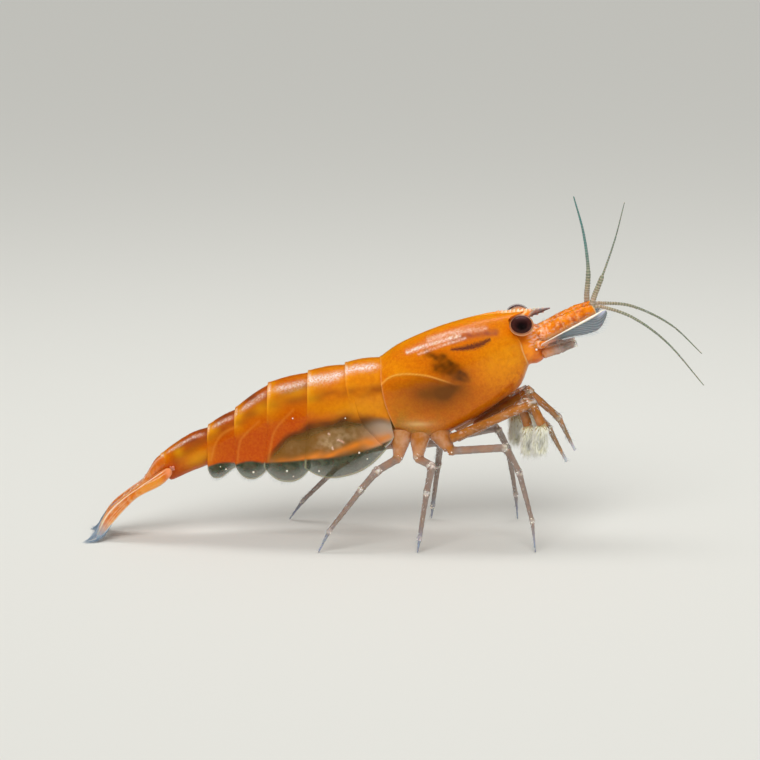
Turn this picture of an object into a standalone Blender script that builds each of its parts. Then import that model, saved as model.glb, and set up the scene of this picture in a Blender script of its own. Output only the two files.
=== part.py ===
"""Aquarium shrimp (Neocaridina davidi, orange form), a still model at life size.

The animal stands on the floor on its six walking legs and on the tip of its tail fan.
Its head points to +X, its right side faces -Y and +Z is up.  Sizes are in millimetres
and are turned to metres as the meshes are made.  Heights are measured from the floor,
x = 0 is the seam behind the carapace and y is measured outward from the middle plane.
At the end the whole model is moved so that its bounding box is centred on the origin.
"""

import math

import bmesh
import bpy
import numpy as np
from mathutils import Matrix, Vector

MM = 0.001
COLLECTION = "aquarium_shrimp"
CUTTERS = "aquarium_shrimp_cutters"
SIDES = (("right", -1), ("left", 1))

# Driving dimensions, in millimetres
GAP = 0.2                    # clearance between neighbouring solids
BLADE = 0.46                 # thickness of fins, antennal scales and swimmerets
FLAP = 0.48                  # thickness of the side flaps of the abdomen
FLOOR = 0.0
SLOPE_STEP = 0.02            # share of a line over which its direction is taken

# Carapace: top line and lower margin (x, z), and half widths at even steps, rear to front
CARAPACE_BACK = ((0, 9.25), (1.0, 9.95), (2.5, 10.63), (4.0, 11.14), (5.4, 11.5), (6.35, 11.62))
CARAPACE_HEM = ((0.8, 5.66), (1.9, 5.36), (3.2, 5.5), (4.75, 6.28), (6.2, 7.26), (7.4, 8.95))
CARAPACE_WIDTH = (1.72, 1.93, 1.95, 1.82, 1.55, 1.2)
CARAPACE_RINGS = 13
CARAPACE_SQUARE = 0.62        # how full the lower half of a ring is: 1 is an oval
RING_POINTS = 24

# Thorax floor between the hips
THORAX_BACK = ((1.0, 5.36), (2.0, 5.12), (3.2, 5.24), (4.15, 5.72))
THORAX_HEM = ((1.1, 4.86), (2.0, 4.6), (3.2, 4.7), (4.3, 5.25))
THORAX_WIDTH = (0.42, 0.5, 0.5, 0.4)
THORAX_RINGS = 5
THORAX_POINTS = 12

# Head, from behind the mouth to the roots of the feelers
HEAD_BACK = ((7.05, 10.4), (7.5, 10.45), (7.88, 10.72))
HEAD_HEM = ((7.62, 8.92), (7.95, 9.0), (8.12, 9.2))
HEAD_WIDTH = (1.2, 1.16, 1.05)
HEAD_RINGS = 3
HEAD_SQUARE = 0.8

# Rostrum: upper edge is straight from ROOT to TIP, lower edge passes through the knots
ROSTRUM_ROOT = (6.58, 11.68)
ROSTRUM_TIP = (8.45, 11.82)
ROSTRUM_LOWER = ((6.58, 11.32), (7.2, 11.26), (7.9, 11.44), (8.4, 11.74))
ROSTRUM_POINTS = 7

# Seams of the abdomen, front to back: top (x, z), foot (x, z), height of belly, half width
SEAMS = (
    ((-0.1, 9.14), (0.7, 5.5), 6.5, 1.62),
    ((-1.75, 8.94), (0.2, 4.98), 6.35, 1.72),
    ((-3.6, 8.53), (-3.6, 4.0), 5.6, 1.78),
    ((-5.6, 7.92), (-5.6, 4.0), 4.6, 1.6),
    ((-7.25, 6.64), (-7.05, 3.98), 4.35, 1.36),
    ((-8.62, 5.77), (-8.5, 3.76), 4.15, 1.12),
)
LOBE_DEPTH = (0.05, 0.9, 0.75, 0.66, 0.52)    # how far each side flap hangs below its seams
LOBE_SKEW = (1.0, 1.0, 1.0, 1.2, 2.0)         # over 1 moves a flap's lowest point back
LOBE_BULGE = (0.0, 0.1, 0.04, 0.0, 0.0)       # how far each side flap stands out
LOBE_POWER = 2.4                              # 2 is a parabola, over 2 a blunter flap
SOMITE_CROWN = 0.07                           # how far each ring arches between its seams
STEP = 0.1                                    # how far a ring's rear edge overhangs the next
ARCH = 0.42                                   # share of the height that the round back takes
ARCH_POINTS = 5
SIDE_SHARES = (0.62, 0.82, 1.0)
FOOT_TUCK = 0.07                              # how far the flaps turn in at the foot
SOMITE_SHARES = (0.0, 0.12, 0.3, 0.5, 0.7, 0.88, 1.0)

# Sixth ring of the abdomen, a plain tapering tube
SIXTH_BACK = ((-8.74, 5.6), (-9.5, 5.34), (-10.45, 4.74), (-11.0, 4.3))
SIXTH_HEM = ((-8.64, 3.74), (-9.5, 3.4), (-10.4, 2.98))
SIXTH_WIDTH = (1.04, 0.94, 0.76)
SIXTH_RINGS = 5
SIXTH_POINTS = 20

# Tail: middle line (x, z), half widths and half heights at even steps
TAIL_RINGS = 6
TAIL_POINTS = 12
TELSON_LINE = ((-11.1, 3.8), (-11.85, 2.9), (-12.6, 2.32), (-13.3, 1.8))
TELSON_WIDTH = (0.54, 0.46, 0.34, 0.22)
TELSON_HEIGHT = (0.34, 0.26, 0.23, 0.23)
INNER_UROPOD_LINE = ((-10.85, 3.08), (-12.1, 1.94), (-13.2, 1.1), (-14.0, 0.55))
INNER_UROPOD_Y = 0.37
INNER_UROPOD_WIDTH = (0.22, 0.27, 0.27, 0.2)
OUTER_UROPOD_LINE = ((0.0, 0.0), (1.1, -0.02), (2.2, 0.12), (3.5, 0.06), (5.1, -0.5))
OUTER_UROPOD_WIDTH = (0.2, 0.34, 0.4, 0.38, 0.16)
OUTER_UROPOD_POINTS = 10
OUTER_UROPOD_ROOT = (-10.72, 0.98, 3.42)
OUTER_UROPOD_PITCH = math.radians(40)         # how steeply the tail fan comes down
OUTER_UROPOD_LEAN = math.radians(32)          # how far the blades lean together at the top

# Swimmerets: root (x, z), tip (x, z), half width, and distance from the middle plane
SWIMMERETS = (
    ((-0.55, 5.9), (-1.3, 4.75), 0.42),
    ((-2.5, 5.55), (-3.5, 4.35), 0.45),
    ((-4.35, 4.75), (-5.4, 3.85), 0.36),
    ((-6.1, 4.02), (-7.0, 3.72), 0.24),
    ((-7.65, 3.84), (-8.45, 3.56), 0.2),
)
SWIMMERET_Y = 0.36
LEAF = (0.55, 1.0, 0.92, 0.4)                 # share of a leaf's half width along its length
LEAF_POINTS = 6

# Eyes, on short stalks under the rostrum
EYE_CENTRE = (7.05, 1.5, 11.2)
EYE_RADII = (0.58, 0.52, 0.57)
EYESTALK = ((7.12, 0.14, 10.88, 0.22), (7.1, 0.78, 11.02, 0.26))

# Walking legs: joints (x, y, z, radius) from the hip to below the floor, where they are cut
WALKING_LEGS = {
    ("leg_3", "right"): ((2.9, 1.0, 4.95, 0.3), (3.5, 1.4, 4.78, 0.28), (6.2, 2.3, 5.15, 0.26),
                         (6.85, 2.6, 3.98, 0.25), (7.5, 2.95, 1.6, 0.25), (7.75, 3.1, -0.3, 0.25)),
    ("leg_4", "right"): ((2.0, 1.0, 4.95, 0.3), (1.9, 1.5, 4.42, 0.28), (2.55, 2.3, 4.22, 0.26),
                         (2.3, 2.7, 2.98, 0.25), (1.95, 3.1, 0.6, 0.25), (1.83, 3.2, -0.3, 0.25)),
    ("leg_5", "right"): ((1.1, 1.0, 4.95, 0.3), (0.9, 1.4, 4.4, 0.28), (-0.15, 2.2, 3.95, 0.26),
                         (-0.95, 2.6, 3.08, 0.25), (-2.5, 2.95, 1.4, 0.25), (-3.2, 3.1, -0.3, 0.25)),
    ("leg_3", "left"): ((2.9, 1.0, 4.95, 0.3), (3.5, 1.4, 4.78, 0.28), (6.0, 2.2, 5.1, 0.26),
                        (6.6, 2.6, 3.9, 0.25), (7.05, 2.95, 1.6, 0.25), (7.2, 3.1, -0.3, 0.25)),
    ("leg_4", "left"): ((2.0, 1.0, 4.95, 0.3), (2.1, 1.5, 4.42, 0.28), (3.1, 2.3, 4.3, 0.26),
                        (3.0, 2.7, 3.05, 0.25), (2.75, 3.1, 0.6, 0.25), (2.66, 3.2, -0.3, 0.25)),
    ("leg_5", "left"): ((1.1, 1.0, 4.95, 0.3), (0.75, 1.4, 4.45, 0.28), (-0.8, 2.1, 3.95, 0.26),
                        (-2.1, 2.45, 3.05, 0.25), (-4.0, 2.9, 1.35, 0.25), (-4.9, 3.1, -0.3, 0.25)),
}

# Front limbs, clear of the floor: joints (x, y, z, radius)
FRONT_LIMBS = {
    ("maxilliped", "right"): ((4.75, 0.4, 5.45, 0.26), (7.25, 0.42, 7.0, 0.26),
                              (8.4, 0.7, 5.82, 0.25), (9.35, 0.8, 4.1, 0.25)),
    ("maxilliped", "left"): ((4.75, 0.4, 5.45, 0.26), (7.45, 0.42, 7.4, 0.26),
                             (9.0, 0.7, 6.02, 0.25), (9.9, 0.8, 4.3, 0.25)),
    ("cheliped_1", "right"): ((4.45, 1.08, 5.45, 0.27), (7.02, 1.12, 6.95, 0.26),
                              (7.35, 1.14, 6.1, 0.26)),
    ("cheliped_1", "left"): ((4.45, 1.08, 5.45, 0.27), (6.8, 1.12, 6.9, 0.26),
                             (6.9, 1.14, 6.1, 0.26)),
    ("cheliped_2", "right"): ((4.35, 1.72, 5.68, 0.27), (7.5, 1.76, 7.25, 0.26),
                              (7.98, 1.8, 6.3, 0.26)),
    ("cheliped_2", "left"): ((4.35, 1.72, 5.68, 0.27), (7.3, 1.76, 7.15, 0.26),
                             (7.75, 1.8, 6.2, 0.26)),
}
CLAW_LENGTH = 1.7
CLAW_RADII = (0.24, 0.3, 0.34, 0.29, 0.2)
CLAW_AIM = {"cheliped_1": (0.05, 0.06, -1.0), "cheliped_2": (-0.08, 0.06, -1.0)}

# Feelers: joints (x, y, z, radius)
ANTENNULE_BASE = ((8.12, 0.44, 10.55, 0.31), (9.0, 0.46, 11.02, 0.35), (9.8, 0.46, 11.45, 0.35),
                  (10.55, 0.46, 11.78, 0.28))
ANTENNA_BASE = ((8.32, 0.72, 9.62, 0.27), (8.9, 0.74, 9.82, 0.25), (9.65, 0.76, 10.08, 0.23))
FLAGELLA = {
    ("antennule_upper", "left"): ((10.3, 0.5, 12.32), (10.35, 0.56, 13.6), (10.1, 0.85, 15.4),
                                  (9.62, 1.3, 17.0)),
    ("antennule_upper", "right"): ((10.55, 0.5, 12.32), (11.0, 0.6, 13.6), (11.62, 0.85, 15.3),
                                   (12.25, 1.3, 17.2)),
    ("antennule_lower", "left"): ((10.95, 0.46, 11.9), (12.6, 0.6, 11.72), (14.6, 1.0, 10.7),
                                  (16.2, 1.5, 9.25)),
    ("antennule_lower", "right"): ((10.95, 0.46, 11.88), (12.5, 0.6, 11.36), (14.2, 1.0, 10.15),
                                   (15.9, 1.5, 8.2)),
}
FLAGELLUM_RADIUS = 0.25
FLAGELLUM_POINTS = 10

# Antennal scale: a blade with a straight outer rim; its lower edge leans inward
SCALE_RIM = ((8.1, 1.3, 10.02), (10.85, 1.2, 11.78))
SCALE_DEPTH = (0.16, 0.3, 0.46, 0.62, 0.7, 0.62, 0.3)
SCALE_POINTS = 9
SCALE_OVERRUN = 1.06          # the blade runs this far past its rim, times the rim's length
SCALE_LEAN = math.radians(30)

ORANGE = (0.80, 0.30, 0.03)
AMBER = (0.72, 0.36, 0.09)
CLEAR_OLIVE = (0.30, 0.28, 0.14)
LEG_PINK = (0.45, 0.30, 0.20)
PALE = (0.62, 0.64, 0.60)
EYE_BROWN = (0.03, 0.015, 0.01)


def clear_scene():
    """Remove every object, so that the model is built in an empty scene."""
    for obj in list(bpy.data.objects):
        bpy.data.objects.remove(obj, do_unlink=True)


def collection(name):
    """Return the named collection, made and linked to the scene when it is missing."""
    group = bpy.data.collections.get(name)
    if group is None:
        group = bpy.data.collections.new(name)
        bpy.context.scene.collection.children.link(group)
    return group


def keep_in(obj, group_name):
    """Keep an object in one collection only."""
    for group in list(obj.users_collection):
        group.objects.unlink(obj)
    collection(group_name).objects.link(obj)


def finish(obj, name, colour, roughness=0.3):
    """Name an object, give it a material of its own and keep it among the shrimp's parts."""
    obj.name = name
    material = bpy.data.materials.new(name + "_finish")
    material.use_nodes = True
    principled = material.node_tree.nodes["Principled BSDF"]
    principled.inputs["Base Color"].default_value = (*colour, 1.0)
    principled.inputs["Roughness"].default_value = roughness
    principled.inputs["Metallic"].default_value = 0.0
    material.diffuse_color = (*colour, 1.0)
    obj.data.materials.clear()
    obj.data.materials.append(material)
    keep_in(obj, COLLECTION)
    return obj


def glide(knots, share, even=False):
    """Point at a share (0 to 1) of the way along the smooth curve through the knots."""
    spots = np.array(knots, dtype=float).reshape(len(knots), -1)
    steps = np.linalg.norm(np.diff(spots, axis=0), axis=1)
    if even:
        steps = np.ones(len(spots) - 1)
    ahead = share * steps.sum()
    index = 0
    while index < len(steps) - 1 and ahead > steps[index]:
        ahead -= steps[index]
        index += 1
    t = min(ahead / steps[index], 1.0)
    here, there = spots[index], spots[index + 1]
    before = spots[index - 1] if index > 0 else 2 * here - there
    after = spots[index + 2] if index + 2 < len(spots) else 2 * there - here
    return 0.5 * (2 * here + (there - before) * t
                  + (2 * before - 5 * here + 4 * there - after) * t ** 2
                  + (3 * here - before - 3 * there + after) * t ** 3)


def heading(line, share):
    """Direction of a smooth line at a share of the way along it, one unit long."""
    ahead = glide(line, min(share + SLOPE_STEP, 1.0)) - glide(line, max(share - SLOPE_STEP, 0.0))
    return ahead / np.linalg.norm(ahead)


def shares(count):
    """Even steps from 0 to 1."""
    return [index / (count - 1) for index in range(count)]


def loft(name, rings, colour):
    """Join a row of closed rings, which have equal numbers of points, into one solid."""
    mesh = bmesh.new()
    rows = [[mesh.verts.new(Vector(point) * MM) for point in ring] for ring in rings]
    for row, after in zip(rows, rows[1:]):
        for index in range(len(row)):
            beyond = (index + 1) % len(row)
            mesh.faces.new((row[index], row[beyond], after[beyond], after[index]))
    mesh.faces.new(rows[0])
    mesh.faces.new(rows[-1])
    bmesh.ops.recalc_face_normals(mesh, faces=mesh.faces)
    data = bpy.data.meshes.new(name)
    mesh.to_mesh(data)
    mesh.free()
    data.shade_smooth()
    data.set_sharp_from_angle(angle=math.radians(50))
    return finish(bpy.data.objects.new(name, data), name, colour)


def egg_ring(top, foot, half_width, middle=0.0, square=1.0, points=RING_POINTS):
    """Oval ring across the plane y = middle, squarer below where square is under 1."""
    top, foot = Vector((top[0], 0, top[1])), Vector((foot[0], 0, foot[1]))
    centre, reach = (top + foot) / 2, (top - foot) / 2
    ring = []
    for index in range(points):
        angle = 2 * math.pi * index / points
        up, out = math.cos(angle), math.sin(angle)
        power = 1.0 if up > 0 else square
        rise = math.copysign(abs(up) ** power, up)
        side = math.copysign(abs(out) ** power, out) * half_width
        ring.append(centre + reach * rise + Vector((0, middle + side, 0)))
    return ring


def saddle_ring(top, foot, belly_height, half_width):
    """Ring of the abdomen: a round back, two hanging flaps and a raised belly between."""
    top, foot = Vector((top[0], 0, top[1])), Vector((foot[0], 0, foot[1]))
    belly = (top.z - belly_height) / (top.z - foot.z)
    half = []
    for index in range(ARCH_POINTS):
        angle = index / (ARCH_POINTS - 1) * math.pi / 2
        half.append((half_width * math.sin(angle), ARCH * (1 - math.cos(angle))))
    half += [(half_width - FOOT_TUCK * share ** 4, share) for share in SIDE_SHARES]
    inside = half_width - FOOT_TUCK - FLAP
    half += [(inside, 1.0), (inside, belly)]
    profile = half + [(0.0, belly)] + [(-out, share) for out, share in reversed(half[1:])]
    return [top.lerp(foot, share) + Vector((0, out, 0)) for out, share in profile]


def swept_rings(line, half_widths, half_heights, middle, count):
    """Oval rings square to a line in the x-z plane."""
    rings = []
    for share in shares(count):
        spot = glide(line, share)
        ahead = heading(line, share)
        upright = np.array((ahead[1], -ahead[0])) * glide(half_heights, share, even=True)
        half_width = glide(half_widths, share, even=True)[0]
        rings.append(egg_ring(spot + upright, spot - upright, half_width, middle,
                              points=TAIL_POINTS))
    return rings


def as_mesh(obj):
    """Turn a curve object into a welded mesh object in the same place."""
    bpy.context.view_layer.update()
    graph = bpy.context.evaluated_depsgraph_get()
    data = bpy.data.meshes.new_from_object(obj.evaluated_get(graph))
    solid = bpy.data.objects.new(obj.name + "_mesh", data)
    solid.matrix_world = obj.matrix_world.copy()
    keep_in(solid, COLLECTION)
    mesh = bmesh.new()
    mesh.from_mesh(data)
    bmesh.ops.remove_doubles(mesh, verts=mesh.verts, dist=1e-6)
    bmesh.ops.recalc_face_normals(mesh, faces=mesh.faces)
    mesh.to_mesh(data)
    mesh.free()
    bpy.data.objects.remove(obj, do_unlink=True)
    return solid


def stand_on_floor(obj):
    """Cut away what reaches below the floor, which leaves a small flat to stand on."""
    mesh = bmesh.new()
    mesh.from_mesh(obj.data)
    geometry = mesh.verts[:] + mesh.edges[:] + mesh.faces[:]
    cut = bmesh.ops.bisect_plane(mesh, geom=geometry, dist=1e-8, plane_co=(0, 0, FLOOR * MM),
                                 plane_no=(0, 0, 1), clear_inner=True)
    rim = [piece for piece in cut["geom_cut"] if isinstance(piece, bmesh.types.BMEdge)]
    bmesh.ops.edgenet_fill(mesh, edges=rim)
    bmesh.ops.recalc_face_normals(mesh, faces=mesh.faces)
    mesh.to_mesh(obj.data)
    mesh.free()


def tube(name, joints, colour, side=1):
    """Round limb through its joints (x, y, z, radius), on the side that y is turned to."""
    curve = bpy.data.curves.new(name, "CURVE")
    curve.dimensions = "3D"
    curve.bevel_depth = MM
    curve.bevel_resolution = 2
    curve.use_fill_caps = True
    spline = curve.splines.new("POLY")
    spline.points.add(len(joints) - 1)
    for point, (x, y, z, radius) in zip(spline.points, joints):
        point.co = (x * MM, side * y * MM, z * MM, 1.0)
        point.radius = radius
    obj = bpy.data.objects.new(name, curve)
    return finish(obj, name, colour)


def blade(name, outline, thickness, colour, place):
    """Flat blade from an outline in its own x-y plane, put in place by a matrix."""
    curve = bpy.data.curves.new(name, "CURVE")
    curve.dimensions = "2D"
    curve.fill_mode = "BOTH"
    curve.extrude = thickness * MM / 2
    spline = curve.splines.new("POLY")
    spline.points.add(len(outline) - 1)
    for point, (across, up) in zip(spline.points, outline):
        point.co = (across * MM, up * MM, 0.0, 1.0)
    spline.use_cyclic_u = True
    obj = bpy.data.objects.new(name, curve)
    collection(COLLECTION).objects.link(obj)
    obj.matrix_world = place
    return finish(as_mesh(obj), name, colour)


def upright_plane(y):
    """Matrix that stands an x-y outline up in the x-z plane at the given y."""
    return Matrix.Translation((0, y * MM, 0)) @ Matrix.Rotation(math.pi / 2, 4, "X")


def leaf_outline(line, half_widths, count):
    """Outline of a leaf around a smooth line, with its half widths at even steps."""
    upper, lower = [], []
    for share in shares(count):
        spot = glide(line, share)
        ahead = heading(line, share)
        normal = np.array((-ahead[1], ahead[0]))
        reach = normal * glide(half_widths, share, even=True)[0]
        upper.append(spot + reach)
        lower.append(spot - reach)
    return upper + lower[::-1]


def build_carapace():
    """Shell of the cephalothorax, hollowed at the front corners for the eyes."""
    rings = []
    for share in shares(CARAPACE_RINGS):
        half_width = glide(CARAPACE_WIDTH, share, even=True)[0]
        rings.append(egg_ring(glide(CARAPACE_BACK, share), glide(CARAPACE_HEM, share),
                              half_width, square=CARAPACE_SQUARE))
    carapace = loft("carapace", rings, ORANGE)
    for side_name, side in SIDES:
        orbit = eye_ball("orbit_cutter_" + side_name, side, GAP)
        orbit.hide_render = True
        orbit.display_type = "WIRE"
        keep_in(orbit, CUTTERS)
        notch = carapace.modifiers.new("orbit_" + side_name, "BOOLEAN")
        notch.operation = "DIFFERENCE"
        notch.solver = "EXACT"
        notch.object = orbit


def eye_ball(name, side, margin=0.0):
    """Ellipsoid of one eye, grown by a margin."""
    bpy.ops.mesh.primitive_uv_sphere_add(segments=20, ring_count=12, radius=1.0)
    ball = bpy.context.object
    ball.name = name
    x, y, z = EYE_CENTRE
    ball.data.transform(Matrix.Diagonal([(radius + margin) * MM for radius in EYE_RADII] + [1]))
    ball.location = (x * MM, side * y * MM, z * MM)
    ball.data.shade_smooth()
    return ball


def build_head():
    """Head block, eyes on their stalks and the rostrum over them."""
    rings = []
    for share in shares(HEAD_RINGS):
        half_width = glide(HEAD_WIDTH, share, even=True)[0]
        rings.append(egg_ring(glide(HEAD_BACK, share), glide(HEAD_HEM, share), half_width,
                              square=HEAD_SQUARE))
    loft("head", rings, ORANGE)
    outline = [ROSTRUM_ROOT, ROSTRUM_TIP]
    outline += [tuple(glide(ROSTRUM_LOWER, 1 - share)) for share in shares(ROSTRUM_POINTS)]
    blade("rostrum", outline, BLADE, ORANGE, upright_plane(0.0))
    for side_name, side in SIDES:
        finish(eye_ball("eye", side), "eye_" + side_name, EYE_BROWN, 0.1)
        tube("eyestalk_" + side_name, EYESTALK, ORANGE, side)


def build_thorax():
    """Underside of the thorax, between the hips of the walking legs."""
    rings = []
    for share in shares(THORAX_RINGS):
        half_width = glide(THORAX_WIDTH, share, even=True)[0]
        rings.append(egg_ring(glide(THORAX_BACK, share), glide(THORAX_HEM, share), half_width,
                              points=THORAX_POINTS))
    loft("thorax", rings, AMBER)


def build_somite(number):
    """One of the first five rings of the abdomen, with its hanging side flaps."""
    (top_a, foot_a, belly_a, width_a), (top_b, foot_b, belly_b, width_b) = SEAMS[number - 1:number + 1]
    depth, skew, bulge = (row[number - 1] for row in (LOBE_DEPTH, LOBE_SKEW, LOBE_BULGE))
    along = (Vector(top_b) + Vector(foot_b) - Vector(top_a) - Vector(foot_a)).normalized()
    rings = []
    for share in SOMITE_SHARES:
        inset = along * GAP * (0.5 - share)
        crown = Vector((0, SOMITE_CROWN * math.sin(math.pi * share) - STEP * (1 - share)))
        hang = Vector((0, -depth * (1 - abs(2 * share ** skew - 1) ** LOBE_POWER)))
        top = Vector(top_a).lerp(Vector(top_b), share) + inset + crown
        foot = Vector(foot_a).lerp(Vector(foot_b), share) + inset + hang
        belly = belly_a + (belly_b - belly_a) * share
        half_width = width_a + (width_b - width_a) * share - STEP * (1 - share) / 2
        half_width += bulge * math.sin(math.pi * share)
        rings.append(saddle_ring(top, foot, belly, half_width))
    loft(f"abdomen_{number}", rings, ORANGE)


def build_abdomen():
    """Six rings of the abdomen and the swimmerets under the first five."""
    for number in range(1, len(SEAMS)):
        build_somite(number)
    rings = []
    for share in shares(SIXTH_RINGS):
        half_width = glide(SIXTH_WIDTH, share, even=True)[0]
        rings.append(egg_ring(glide(SIXTH_BACK, share), glide(SIXTH_HEM, share), half_width,
                              points=SIXTH_POINTS))
    loft("abdomen_6", rings, ORANGE)
    for number, (root, tip, half_width) in enumerate(SWIMMERETS, start=1):
        outline = leaf_outline((root, tip), [half_width * part for part in LEAF], LEAF_POINTS)
        for side_name, side in SIDES:
            blade(f"swimmeret_{number}_{side_name}", outline, BLADE, CLEAR_OLIVE,
                  upright_plane(side * SWIMMERET_Y))


def build_tail():
    """Telson and the two pairs of uropods, closed to a narrow fan."""
    loft("telson", swept_rings(TELSON_LINE, TELSON_WIDTH, TELSON_HEIGHT, 0.0, TAIL_RINGS), ORANGE)
    outline = leaf_outline(OUTER_UROPOD_LINE, OUTER_UROPOD_WIDTH, OUTER_UROPOD_POINTS)
    for side_name, side in SIDES:
        rings = swept_rings(INNER_UROPOD_LINE, INNER_UROPOD_WIDTH, (BLADE / 2, BLADE / 2),
                            side * INNER_UROPOD_Y, TAIL_RINGS)
        loft("uropod_inner_" + side_name, rings, ORANGE)
        root = Vector((OUTER_UROPOD_ROOT[0], side * OUTER_UROPOD_ROOT[1], OUTER_UROPOD_ROOT[2]))
        pitch = Matrix.Rotation(math.pi - OUTER_UROPOD_PITCH, 4, "Y")
        lean = Matrix.Rotation(-math.pi / 2 - side * OUTER_UROPOD_LEAN, 4, "X")
        outer = blade("uropod_outer_" + side_name, outline, BLADE, ORANGE,
                      Matrix.Translation(root * MM) @ pitch @ lean)
        settle(outer)
        stand_on_floor(outer)


def settle(obj):
    """Move an object's place and turn into its mesh."""
    obj.data.transform(obj.matrix_world)
    obj.matrix_world = Matrix.Identity(4)


def build_walking_legs():
    """Three pairs of walking legs, each cut level with the floor."""
    side_of = dict(SIDES)
    for (name, side_name), joints in WALKING_LEGS.items():
        leg = as_mesh(tube("leg", joints, LEG_PINK, side_of[side_name]))
        leg.name = f"{name}_{side_name}"
        stand_on_floor(leg)


def build_front_limbs():
    """Third maxillipeds and two pairs of clawed legs, held clear of the floor."""
    side_of = dict(SIDES)
    for (name, side_name), joints in FRONT_LIMBS.items():
        side = side_of[side_name]
        tube(f"{name}_{side_name}", joints, AMBER, side)
        if name not in CLAW_AIM:
            continue
        aim = Vector(CLAW_AIM[name]).normalized()
        wrist = Vector(joints[-1][:3]) + aim * GAP
        palm = []
        for share, radius in zip(shares(len(CLAW_RADII)), CLAW_RADII):
            palm.append((*(wrist + aim * CLAW_LENGTH * share), radius))
        tube(name.replace("cheliped", "claw") + "_" + side_name, palm, PALE, side)


def build_feelers():
    """Antennules with two flagella each, antenna stems and antennal scales."""
    for (name, side_name), knots in FLAGELLA.items():
        route = [(*glide(knots, share), FLAGELLUM_RADIUS) for share in shares(FLAGELLUM_POINTS)]
        tube(f"{name}_{side_name}", route, AMBER, dict(SIDES)[side_name])
    start, end = Vector(SCALE_RIM[0]), Vector(SCALE_RIM[1])
    length = (end - start).length
    outline = [(0.0, 0.0), (length, 0.0)]
    for share in shares(SCALE_POINTS):
        outline.append((length * (1 - share) * SCALE_OVERRUN,
                        -glide(SCALE_DEPTH, 1 - share, even=True)[0]))
    for side_name, side in SIDES:
        tube("antennule_stem_" + side_name, ANTENNULE_BASE, ORANGE, side)
        tube("antenna_stem_" + side_name, ANTENNA_BASE, AMBER, side)
        rim = Vector((end.x - start.x, side * (end.y - start.y), end.z - start.z)).normalized()
        flat = rim.cross(Vector((0, -side, 0))).normalized() * -side
        lean = Matrix.Rotation(side * SCALE_LEAN, 3, rim)
        rise = (lean @ flat).normalized()
        axes = Matrix((rim, rise, rim.cross(rise))).transposed().to_4x4()
        place = Matrix.Translation(Vector((start.x, side * start.y, start.z)) * MM) @ axes
        blade("antennal_scale_" + side_name, outline, BLADE, PALE, place)


def centre_on_origin():
    """Stand the middle of the whole model's bounding box over the origin."""
    bpy.context.view_layer.update()
    graph = bpy.context.evaluated_depsgraph_get()
    corners = []
    for obj in collection(COLLECTION).objects:
        solid = obj.evaluated_get(graph)
        data = solid.to_mesh()
        corners += [obj.matrix_world @ vert.co for vert in data.vertices]
        solid.to_mesh_clear()
    low = [min(corner[axis] for corner in corners) for axis in range(2)]
    high = [max(corner[axis] for corner in corners) for axis in range(2)]
    stand = bpy.data.objects.new("standing_point", None)
    collection(CUTTERS).objects.link(stand)
    for group in (COLLECTION, CUTTERS):
        for obj in collection(group).objects:
            if obj is not stand:
                obj.parent = stand
    stand.location = (-(low[0] + high[0]) / 2, -(low[1] + high[1]) / 2, 0)


def main():
    """Build every part of the shrimp."""
    clear_scene()
    build_carapace()
    build_head()
    build_thorax()
    build_abdomen()
    build_tail()
    build_walking_legs()
    build_front_limbs()
    build_feelers()
    centre_on_origin()


if __name__ == "__main__":
    main()
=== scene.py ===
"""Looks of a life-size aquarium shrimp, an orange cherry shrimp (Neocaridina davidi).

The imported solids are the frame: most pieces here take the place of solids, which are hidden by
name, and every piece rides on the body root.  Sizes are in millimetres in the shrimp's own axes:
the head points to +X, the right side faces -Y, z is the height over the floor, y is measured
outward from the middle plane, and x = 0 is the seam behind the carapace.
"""

import math

import bmesh
import bpy
import numpy as np
from mathutils import Matrix, Vector


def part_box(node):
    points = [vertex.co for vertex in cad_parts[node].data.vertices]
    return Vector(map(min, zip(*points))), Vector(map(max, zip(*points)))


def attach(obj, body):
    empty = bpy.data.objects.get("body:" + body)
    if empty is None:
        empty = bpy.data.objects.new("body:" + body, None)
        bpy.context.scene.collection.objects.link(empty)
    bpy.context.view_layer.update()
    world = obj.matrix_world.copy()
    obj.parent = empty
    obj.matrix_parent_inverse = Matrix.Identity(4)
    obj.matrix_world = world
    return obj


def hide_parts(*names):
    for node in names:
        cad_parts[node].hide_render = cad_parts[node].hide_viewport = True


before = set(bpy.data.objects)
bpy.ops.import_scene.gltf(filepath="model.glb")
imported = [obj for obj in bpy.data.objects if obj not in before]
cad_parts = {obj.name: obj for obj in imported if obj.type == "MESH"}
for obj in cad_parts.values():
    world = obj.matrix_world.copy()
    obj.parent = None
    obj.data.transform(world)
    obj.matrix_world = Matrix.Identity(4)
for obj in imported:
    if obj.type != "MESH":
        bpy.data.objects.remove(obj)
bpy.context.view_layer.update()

bl_info = {
    "name": "Aquarium shrimp",
    "version": (1, 0, 0),
    "blender": (4, 5, 0),
    "location": "3D View > Sidebar > Shrimp",
    "description": "Builds the shells, flesh, limbs and setae of an aquarium shrimp",
    "category": "Add Mesh",
}

MM = 0.001
SEAM_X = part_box("carapace")[0].x / MM          # where x = 0 lies in the frame
SIDES = (("right", -1.0), ("left", 1.0))
WELD = 2e-8                                    # metres
FINE = 24                                      # steps between two knots of a course
MIX_SHARE, MIX_UNDER, MIX_OVER, MIXED = 0, 6, 7, 2    # colour sockets of a Mix node
WET_CHITIN_IOR = 1.38                          # chitin is 1.56; a film of water lowers it

# ---------------------------------------------------------------- the shrimp's own lines

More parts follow.
